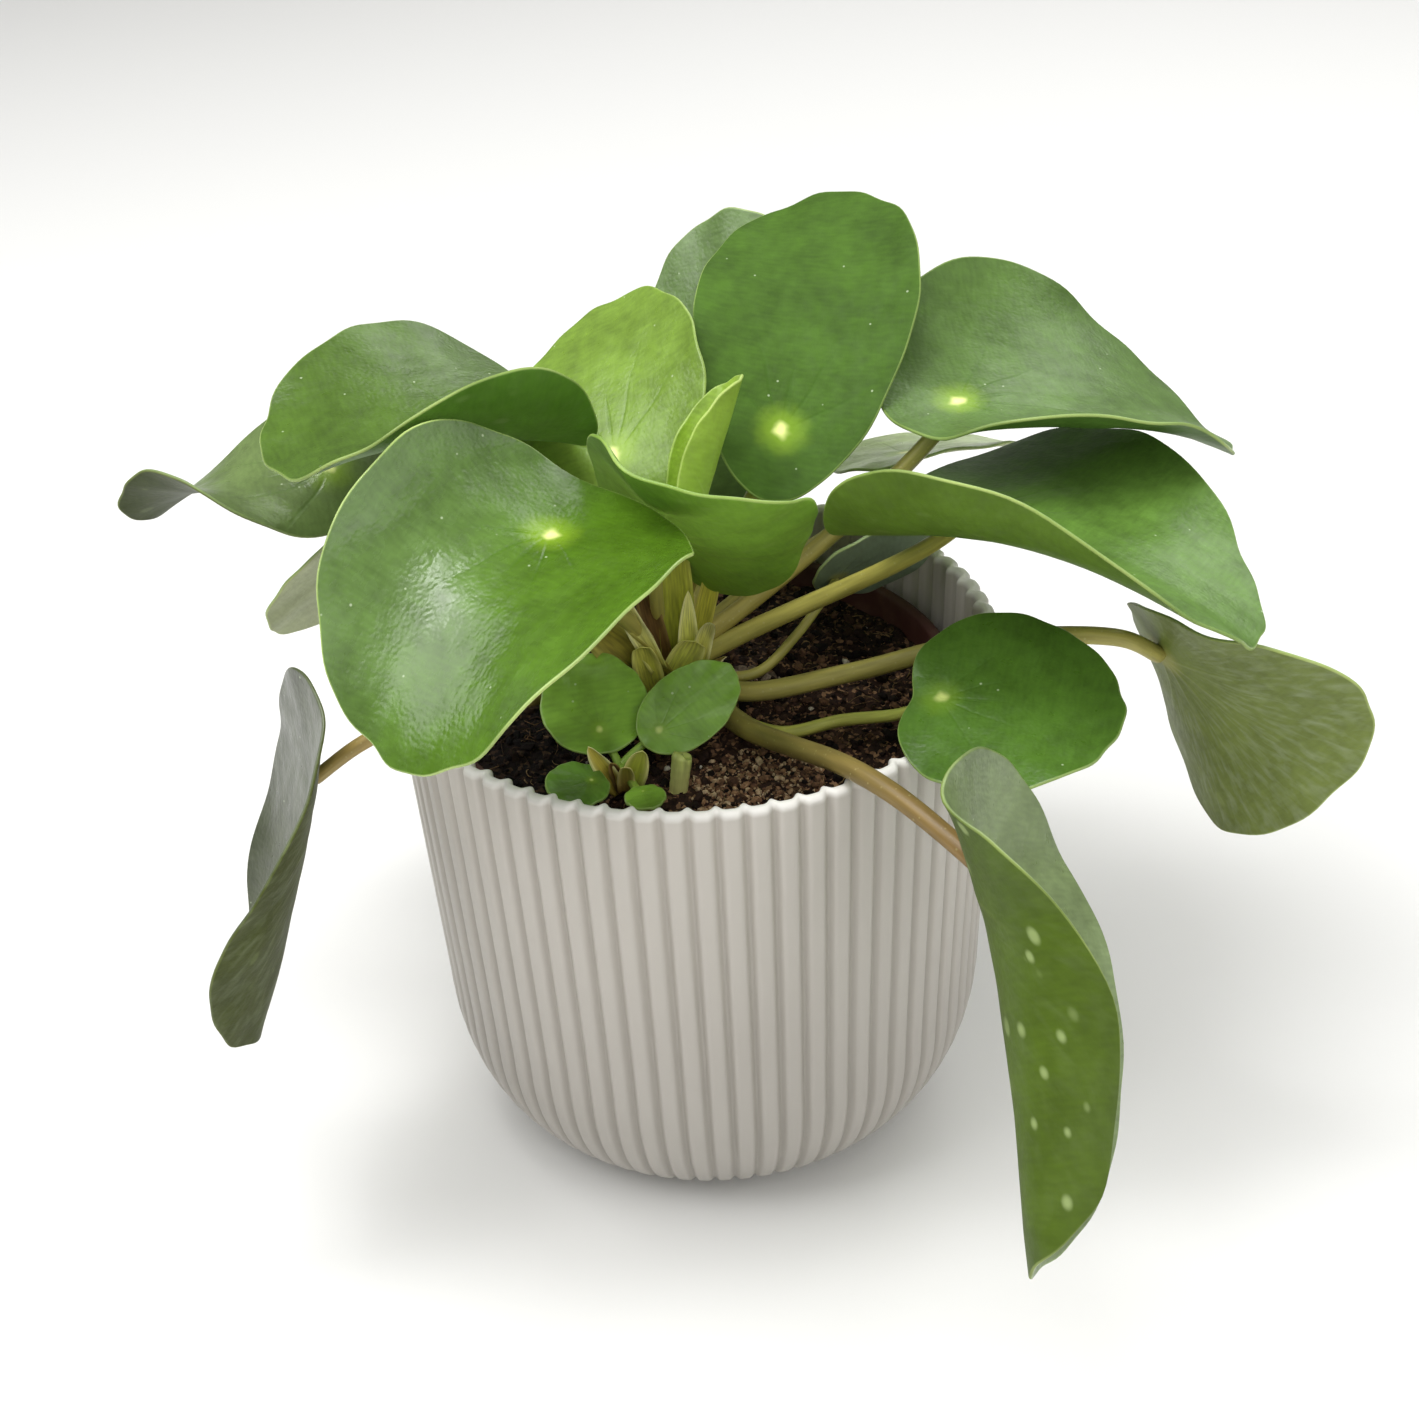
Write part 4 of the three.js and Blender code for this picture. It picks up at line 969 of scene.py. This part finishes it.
def peat_mix():
    """Moist peat: almost black brown between the crumbs, with tan specks of a millimetre, paler where it is
    dry, and darker at the left and at the back as wet peat and as painted shade."""
    finish, tree = new_finish("peat_potting_mix")
    place = add(tree, "TexCoord", out="Object")
    lump = add(tree, "TexNoise", {"Vector": place, "Scale": 1 / 0.006, "Detail": 6.0,
                                  "Roughness": 0.7}, out="Fac")
    tone = add(tree, "MapRange", {"Value": lump, "From Min": 0.35, "From Max": 0.68})
    colour = add(tree, "Mix", {"Factor": tone, "A": linear("0e0907"), "B": linear("3e2a20")}, **COLOUR)
    cell = add(tree, "TexVoronoi", {"Vector": place, "Scale": 1 / 0.0009}, out="Color")
    pick = add(tree, "SeparateColor", {"Color": cell}, out=0)
    fleck = add(tree, "MapRange", {"Value": pick, "From Min": 0.72, "From Max": 0.95})
    colour = add(tree, "Mix", {"Factor": fleck, "A": colour, "B": linear("8a6a4e")}, **COLOUR)
    # Darker at the left and the back, as wet peat and as painted shade
    colour = shaded(tree, colour, add(tree, "Attribute", out="Fac", attribute_name="dryness_and_shade"))
    near = add(tree, "TexVoronoi", {"Vector": place, "Scale": 1 / 0.0012}, out="Distance")
    bump = add(tree, "Bump", {"Strength": 0.9, "Distance": 0.0005, "Height": near}, invert=True)
    bump = add(tree, "Bump", {"Strength": 0.8, "Distance": 0.0008, "Height": lump, "Normal": bump})
    return close_finish(finish, {"Base Color": colour, "Roughness": 0.92, "Normal": bump,
                                 "Specular IOR Level": 0.25})


def crumb_mix():
    """Peat crumbs, bark and perlite: each lump has its own tone, broken up by pores."""
    finish, tree = new_finish("peat_crumbs")
    place = add(tree, "TexCoord", out="Object")
    tint = add(tree, "Attribute", out="Color", attribute_name="tint")
    pores = add(tree, "TexNoise", {"Vector": place, "Scale": 1 / 0.0008, "Detail": 4.0}, out="Fac")
    shade = add(tree, "MapRange", {"Value": pores, "From Min": 0.3, "From Max": 0.7,
                                   "To Min": 0.45, "To Max": 1.25})
    bump = add(tree, "Bump", {"Strength": 0.7, "Distance": 0.0002, "Height": pores})
    return close_finish(finish, {"Base Color": shaded(tree, tint, shade), "Roughness": 0.9, "Normal": bump,
                                 "Specular IOR Level": 0.25})


def blade_coordinates(tree):
    """The place on a blade in millimetres from its hub, the distance from the hub, which counts for more on a
    small blade, and the angle from the midrib."""
    uv = add(tree, "UVMap", uv_map="surface")
    centred = add(tree, "VectorMath", {0: uv, 1: (0.5, 0.5, 0)}, operation="SUBTRACT")
    place = add(tree, "VectorMath", {0: centred, "Scale": float(UV_SPAN)}, operation="SCALE")
    forward = add(tree, "SeparateXYZ", {"Vector": place}, out="X")
    sideways = add(tree, "SeparateXYZ", {"Vector": place}, out="Y")
    away = add(tree, "Attribute", out="Fac", attribute_name="from_hub")
    turn = add(tree, "Math", {0: sideways, 1: forward}, operation="ARCTAN2")
    angle = add(tree, "Math", {0: turn}, operation="ABSOLUTE")
    return place, away, angle


def times_value(tree, share, name):
    """A share times the number that the piece holds under a name."""
    value = add(tree, "Attribute", out="Fac", attribute_name=name)
    return add(tree, "Math", {0: share, 1: value}, operation="MULTIPLY")


def vein_lines(tree, place, away, angle, width):
    """1 on the main veins and 0 a line's width away, fading out from the hub, made a little unsteady by
    noise."""
    jitter = add(tree, "TexNoise", {"Vector": place, "Scale": 1 / 12.5, "Detail": 0.0}, out="Fac")
    jitter = add(tree, "MapRange", {"Value": jitter, "To Min": -0.09, "To Max": 0.09})
    unsteady = add(tree, "Math", {0: angle, 1: jitter}, operation="ADD")
    nearest = None
    for start in VEIN_ANGLES:
        sweep = VEIN_SWEEP * math.sin(start)
        swept = add(tree, "Math", {0: away, 1: sweep, 2: unsteady}, operation="MULTIPLY_ADD")
        off = add(tree, "Math", {0: swept, 1: start}, operation="SUBTRACT")
        gap = add(tree, "Math", {0: off}, operation="ABSOLUTE")
        gap = add(tree, "Math", {0: gap, 1: away}, operation="MULTIPLY")
        nearest = gap if nearest is None else add(tree, "Math", {0: nearest, 1: gap}, operation="MINIMUM")
    line = add(tree, "MapRange", {"Value": nearest, "From Min": width, "From Max": 0.0}, **SOFT)
    fade = add(tree, "MapRange", {"Value": away, "From Min": 32.0, "From Max": 5.0,
                                  "To Min": 0.05, "To Max": 1.0}, **SOFT)
    line = add(tree, "Math", {0: line, 1: fade}, operation="MULTIPLY")
    begin = add(tree, "MapRange", {"Value": away, "From Min": 1.5, "From Max": 6.0}, **SOFT)
    return add(tree, "Math", {0: line, 1: begin}, operation="MULTIPLY")


def mottle(tree, place, low, high):
    """The piece's tint, made lighter and darker in patches of 15 mm and of 3 mm and in short fine streaks."""
    tint = add(tree, "Attribute", out="Color", attribute_name="tint")
    broad = add(tree, "TexNoise", {"Vector": place, "Scale": 1 / 15, "Detail": 2.0}, out="Fac")
    fine = add(tree, "TexNoise", {"Vector": place, "Scale": 1 / 3, "Detail": 3.0}, out="Fac")
    both = add(tree, "Math", {0: fine, 1: 0.5, 2: broad}, operation="MULTIPLY_ADD")
    drawn = add(tree, "Mapping", {"Vector": place, "Scale": (1 / 0.8, 1 / 3.5, 1)})
    streak = add(tree, "TexNoise", {"Vector": drawn, "Scale": 1.0, "Detail": 0.0}, out="Fac")
    total = add(tree, "Math", {0: streak, 1: 0.3, 2: both}, operation="MULTIPLY_ADD")
    shade = add(tree, "MapRange", {"Value": total, "From Min": 0.66, "From Max": 1.14,
                                   "To Min": low, "To Max": high})
    return shaded(tree, tint, shade)


def edge_line(tree, place):
    """How plain the pale line along a blade's edge is: fainter here and there, by patches of 18 mm."""
    from_edge = add(tree, "Attribute", out="Fac", attribute_name="from_edge")
    line = add(tree, "MapRange", {"Value": from_edge, "From Min": 0.5, "From Max": 0.1}, **SOFT)
    line = times_value(tree, line, "edge")
    patch = add(tree, "TexNoise", {"Vector": place, "Scale": 1 / 18, "Detail": 1.0}, out="Fac")
    patch = add(tree, "MapRange", {"Value": patch, "From Min": 0.3, "From Max": 0.7,
                                   "To Min": 0.4, "To Max": 1.4})
    return add(tree, "Math", {0: line, 1: patch}, operation="MULTIPLY")


def cuticle(name, matt):
    """A pilea blade's waxy upper face: fleshy and smooth with a soft sheen, a pale yellow hub, darker main
    veins that fade out, a leathery grain, a few small pale dots and a pale edge. matt is taken from its
    gloss."""
    finish, tree = new_finish(name)
    place, away, angle = blade_coordinates(tree)
    veins = times_value(tree, vein_lines(tree, place, away, angle, 0.7), "glow")
    dark = add(tree, "Math", {0: veins, 1: 0.22}, operation="MULTIPLY")

    # The hub's edge and the halo round it are ragged by noise of 3.4 mm
    rag = add(tree, "TexNoise", {"Vector": place, "Scale": 1 / 3.4, "Detail": 1.0}, out="Fac")
    rag = add(tree, "MapRange", {"Value": rag, "From Min": 0.25, "From Max": 0.75,
                                 "To Min": -0.8, "To Max": 0.8})
    ragged = add(tree, "Math", {0: away, 1: rag}, operation="ADD")
    halo = add(tree, "MapRange", {"Value": ragged, "From Min": 8.0, "From Max": 1.8, "To Max": 0.45}, **SOFT)
    hub = add(tree, "MapRange", {"Value": ragged, "From Min": 2.7, "From Max": 0.3}, **SOFT)

    # One dot in five of those that stand 4 mm apart shows
    pale_dot = add(tree, "TexVoronoi", {"Vector": place, "Scale": 1 / 4}, out="Distance")
    lot = add(tree, "TexVoronoi", {"Vector": place, "Scale": 1 / 4}, out="Color")
    lot = add(tree, "SeparateColor", {"Color": lot}, out=0)
    chosen = add(tree, "Math", {0: lot, 1: 0.82}, operation="GREATER_THAN")
    dot = add(tree, "MapRange", {"Value": pale_dot, "From Min": 0.09, "From Max": 0.045, "To Max": 0.5}, **SOFT)
    dot = add(tree, "Math", {0: dot, 1: chosen}, operation="MULTIPLY")

    colour = mottle(tree, place, 0.72, 1.2)
    for share, code in ((dark, "3a5f14"), (times_value(tree, halo, "glow"), "9cc22e"),
                        (times_value(tree, hub, "glow"), "eef59a"), (edge_line(tree, place), "a9c070"),
                        (dot, "c9d8b4")):
        colour = add(tree, "Mix", {"Factor": share, "A": colour, "B": linear(code)}, **COLOUR)

    drawn = add(tree, "Mapping", {"Vector": place, "Scale": (1 / 5, 1 / 3.2, 1)})
    wrinkle = add(tree, "TexNoise", {"Vector": drawn, "Scale": 1.0, "Detail": 4.0,
                                     "Roughness": 0.55}, out="Fac")
    grooves = add(tree, "Math", {0: veins, 1: -0.5, 2: wrinkle}, operation="MULTIPLY_ADD")
    bump = add(tree, "Bump", {"Strength": 0.6, "Distance": 0.00032, "Height": grooves})
    grain = add(tree, "TexNoise", {"Vector": place, "Scale": 1 / 0.9, "Detail": 0.0}, out="Fac")
    bump = add(tree, "Bump", {"Strength": 0.6, "Distance": 0.0001, "Height": grain, "Normal": bump})
    rough = add(tree, "MapRange", {"Value": wrinkle, "From Min": 0.3, "From Max": 0.7,
                                   "To Min": 0.26 + matt, "To Max": 0.4 + matt})
    return close_finish(finish, {"Base Color": colour, "Roughness": rough, "Normal": bump, "IOR": 1.5,
                                 "Specular IOR Level": 0.5 - matt})


def underside():
    """A pilea blade's lower face: duller and more olive, with the main veins raised and paler, pale streaks
    that fan out from the hub, and oval water marks of a few millimetres with a pale rim."""
    finish, tree = new_finish("pilea_underside")
    place, away, angle = blade_coordinates(tree)
    fan = add(tree, "CombineXYZ", {"X": angle, "Y": away})
    fan = add(tree, "Mapping", {"Vector": fan, "Scale": (18, 1 / 6, 1)})
    streak = add(tree, "TexNoise", {"Vector": fan, "Scale": 1.0, "Detail": 4.0, "Distortion": 0.4}, out="Fac")
    streak = add(tree, "MapRange", {"Value": streak, "From Min": 0.45, "From Max": 0.75})
    spread = add(tree, "MapRange", {"Value": away, "From Min": 6.0, "From Max": 20.0, "To Max": 0.7})
    streak = add(tree, "Math", {0: streak, 1: spread}, operation="MULTIPLY")
    veins = vein_lines(tree, place, away, angle, 0.9)
    pale = add(tree, "Math", {0: veins, 1: 0.15}, operation="MULTIPLY")

    # A mark's size and whether it shows come from the random colour of its cell
    drawn = add(tree, "Mapping", {"Vector": place, "Scale": (1 / 7.5, 1 / 5, 1)})
    spot = add(tree, "TexVoronoi", {"Vector": drawn, "Scale": 1.0, "Randomness": 0.9}, out="Distance")
    lot = add(tree, "TexVoronoi", {"Vector": drawn, "Scale": 1.0, "Randomness": 0.9}, out="Color")
    chance = add(tree, "SeparateColor", {"Color": lot}, out=0)
    girth = add(tree, "SeparateColor", {"Color": lot}, out=1)
    chosen = add(tree, "MapRange", {"Value": chance, "From Min": 0.12, "From Max": 0.45, "To Max": 0.5})
    reach = add(tree, "Math", {0: girth, 1: 0.16, 2: 0.1}, operation="MULTIPLY_ADD")
    nearness = add(tree, "Math", {0: reach, 1: spot}, operation="SUBTRACT")
    mark = add(tree, "MapRange", {"Value": nearness, "From Min": -0.06, "From Max": 0.1}, **SOFT)
    mark = add(tree, "Math", {0: mark, 1: chosen}, operation="MULTIPLY")
    hub = add(tree, "MapRange", {"Value": away, "From Min": 7.0, "From Max": 2.0, "To Max": 0.7}, **SOFT)

    colour = mottle(tree, place, 0.82, 1.18)
    for share, code in ((times_value(tree, streak, "streaks"), "98a480"), (pale, "a9b86a"),
                        (times_value(tree, mark, "marks"), "b0c282"), (edge_line(tree, place), "b4c474"),
                        (hub, "a8a65c")):
        colour = add(tree, "Mix", {"Factor": share, "A": colour, "B": linear(code)}, **COLOUR)

    skin = add(tree, "TexNoise", {"Vector": place, "Scale": 1 / 1.4, "Detail": 3.0}, out="Fac")
    ridges = add(tree, "Math", {0: veins, 1: 0.6, 2: skin}, operation="MULTIPLY_ADD")
    bump = add(tree, "Bump", {"Strength": 0.4, "Distance": 0.0003, "Height": ridges})
    return close_finish(finish, {"Base Color": colour, "Roughness": 0.5, "Normal": bump, "IOR": 1.45,
                                 "Specular IOR Level": 0.32})


def streaked(tree, scale, detail, low, high):
    """The piece's tint with lighter and darker streaks along its length, and the streaks as a height."""
    uv = add(tree, "UVMap", uv_map="surface")
    tint = add(tree, "Attribute", out="Color", attribute_name="tint")
    drawn = add(tree, "Mapping", {"Vector": uv, "Scale": scale})
    streak = add(tree, "TexNoise", {"Vector": drawn, "Scale": 1.0, "Detail": detail}, out="Fac")
    shade = add(tree, "MapRange", {"Value": streak, "From Min": 0.3, "From Max": 0.7,
                                   "To Min": low, "To Max": high})
    return shaded(tree, tint, shade), streak


def petiole():
    """A fleshy leaf stalk: smooth and softly glossy, streaked along its length, with small pale pores."""
    finish, tree = new_finish("pilea_petiole")
    colour, streak = streaked(tree, (9, 1 / 14, 1), 3.0, 0.78, 1.22)
    place = add(tree, "TexCoord", out="Object")
    pale_dot = add(tree, "TexVoronoi", {"Vector": place, "Scale": 1 / 0.0016}, out="Distance")
    dot = add(tree, "MapRange", {"Value": pale_dot, "From Min": 0.2, "From Max": 0.1, "To Max": 0.3})
    colour = add(tree, "Mix", {"Factor": dot, "A": colour, "B": linear("c4bf86")}, **COLOUR)
    bump = add(tree, "Bump", {"Strength": 0.3, "Distance": 0.0002, "Height": streak})
    return close_finish(finish, {"Base Color": colour, "Roughness": 0.42, "Normal": bump, "IOR": 1.45})


def stipule():
    """A dry stipule: papery and matte, with fine lengthwise ribs."""
    finish, tree = new_finish("dry_stipule")
    colour, rib = streaked(tree, (14, 1 / 6, 1), 2.0, 0.85, 1.5)
    bump = add(tree, "Bump", {"Strength": 0.5, "Distance": 0.0002, "Height": rib})
    return close_finish(finish, {"Base Color": colour, "Roughness": 0.7, "Normal": bump})


# The plant is made

MOULDED_WHITE = moulded_white()
MOULDED_BROWN = moulded_brown()
PEAT = peat_mix()
CRUMB = crumb_mix()
CUTICLE = cuticle("pilea_cuticle", 0.0)
UNDERSIDE = underside()
PETIOLE = petiole()
STIPULE = stipule()

make_outer_pot()
make_nursery_pot()
make_soil()
scatter_lumps("peat_crumbs", 2600, sizes=(0.35, 1.7), flat=0.7, seed=7,
              codes=("140d0a", "1e140f", "2e2018", "4a3426", "6e523c"))
scatter_lumps("dry_crumbs", 1100, sizes=(0.25, 0.9), flat=0.7, seed=9,
              codes=("8a6a4e", "a68a6a", "6a4c38", "b8a080"), centre=(12, -36), spread=15)
scatter_lumps("ash_crumbs", 110, sizes=(0.4, 1.5), flat=0.8, seed=10,
              codes=("8a7a6a", "a59484", "6a5a4c"), centre=(14, 6), spread=6)
scatter_lumps("perlite", 30, sizes=(0.5, 1.6), flat=0.8, seed=8, codes=("d0c9bc", "b8ae9c"))
make_fibres()
make_stalks()
make_stipules()
make_sprout()
make_stub()
for number, blade in enumerate(BLADES):
    make_blade(blade, 30, 128, number + 1)
for number, blade in enumerate(SPROUT_BLADES):
    make_blade({**SPROUT_LOOKS, **blade}, 20, 96, number + 31)


# Floor, light and camera

CAMERA_PLACE = np.array([2.2, -425.1, 388.3]) * MM
CAMERA_TARGET = np.array([2.2, 0, 104.8]) * MM
CAMERA_ROLL = -3.3  # degrees
CAMERA_LENS = 55.8  # millimetres, on a sensor of the next line's width
SENSOR_WIDTH = 36
FLOOR_HALF = 3.0
LAMP_TARGET = (0, 0, 0.12)


def make_floor():
    """A pale matt board that the pot stands on."""
    corners = [(-FLOOR_HALF, -FLOOR_HALF, 0), (FLOOR_HALF, -FLOOR_HALF, 0),
               (FLOOR_HALF, FLOOR_HALF, 0), (-FLOOR_HALF, FLOOR_HALF, 0)]
    mesh = bpy.data.meshes.new("floor")
    mesh.from_pydata(corners, [], [(0, 1, 2, 3)])
    finish, _ = new_finish("pale_board")
    mesh.materials.append(close_finish(finish, {"Base Color": linear("e8e8e6"), "Roughness": 0.8}))
    floor = bpy.data.objects.new("floor", mesh)
    bpy.context.scene.collection.objects.link(floor)


def make_lamp(name, place, size, power, target=LAMP_TARGET, seen=True):
    """A rectangular soft box that faces a point. One that isn't seen lights a surface without a highlight."""
    lamp = bpy.data.lights.new(name, "AREA")
    lamp.shape = "RECTANGLE"
    lamp.size, lamp.size_y = size
    lamp.energy = power
    item = bpy.data.objects.new(name, lamp)
    item.location = place
    item.visible_glossy = seen
    item.rotation_euler = (Vector(target) - Vector(place)).to_track_quat("-Z", "Y").to_euler()
    bpy.context.scene.collection.objects.link(item)


def make_world():
    """A faint warm white from all round."""
    world = bpy.data.worlds.new("soft_studio")
    world.use_nodes = True
    background = world.node_tree.nodes["Background"]
    background.inputs["Color"].default_value = linear("f6f4f0")
    background.inputs["Strength"].default_value = 0.2
    bpy.context.scene.world = world


def make_camera():
    """The photograph's viewpoint: a look along the line to the target, turned by the roll about it."""
    camera = bpy.data.cameras.new("camera")
    camera.lens = CAMERA_LENS
    camera.sensor_width = SENSOR_WIDTH
    camera.clip_start, camera.clip_end = 0.01, 20
    item = bpy.data.objects.new("camera", camera)
    facing = Vector(CAMERA_PLACE - CAMERA_TARGET).to_track_quat("Z", "Y").to_matrix().to_4x4()
    roll = Matrix.Rotation(math.radians(CAMERA_ROLL), 4, "Z")
    item.matrix_world = Matrix.Translation(CAMERA_PLACE) @ facing @ roll
    bpy.context.scene.collection.objects.link(item)
    bpy.context.scene.camera = item


make_floor()
make_world()
make_lamp("right_window", (0.63, 0.81, 0.92), (1.2, 0.7), 6.4)
make_lamp("left_window", (-0.76, -0.13, 1.10), (1.0, 0.9), 10.5)
make_lamp("roof_window", (-0.22, -0.04, 1.4), (0.26, 0.6), 6, target=(-0.04, -0.04, 0.16))
make_lamp("front_window", (1.0, -0.6, 0.6), (1.2, 0.8), 4)
make_lamp("overhead", (0.0, -0.3, 1.5), (1.8, 1.6), 12.5, seen=False)
make_lamp("front_fill", (0.15, -1.15, 0.75), (1.4, 0.7), 3.4)
make_camera()
bpy.context.scene.view_settings.view_transform = "Standard"
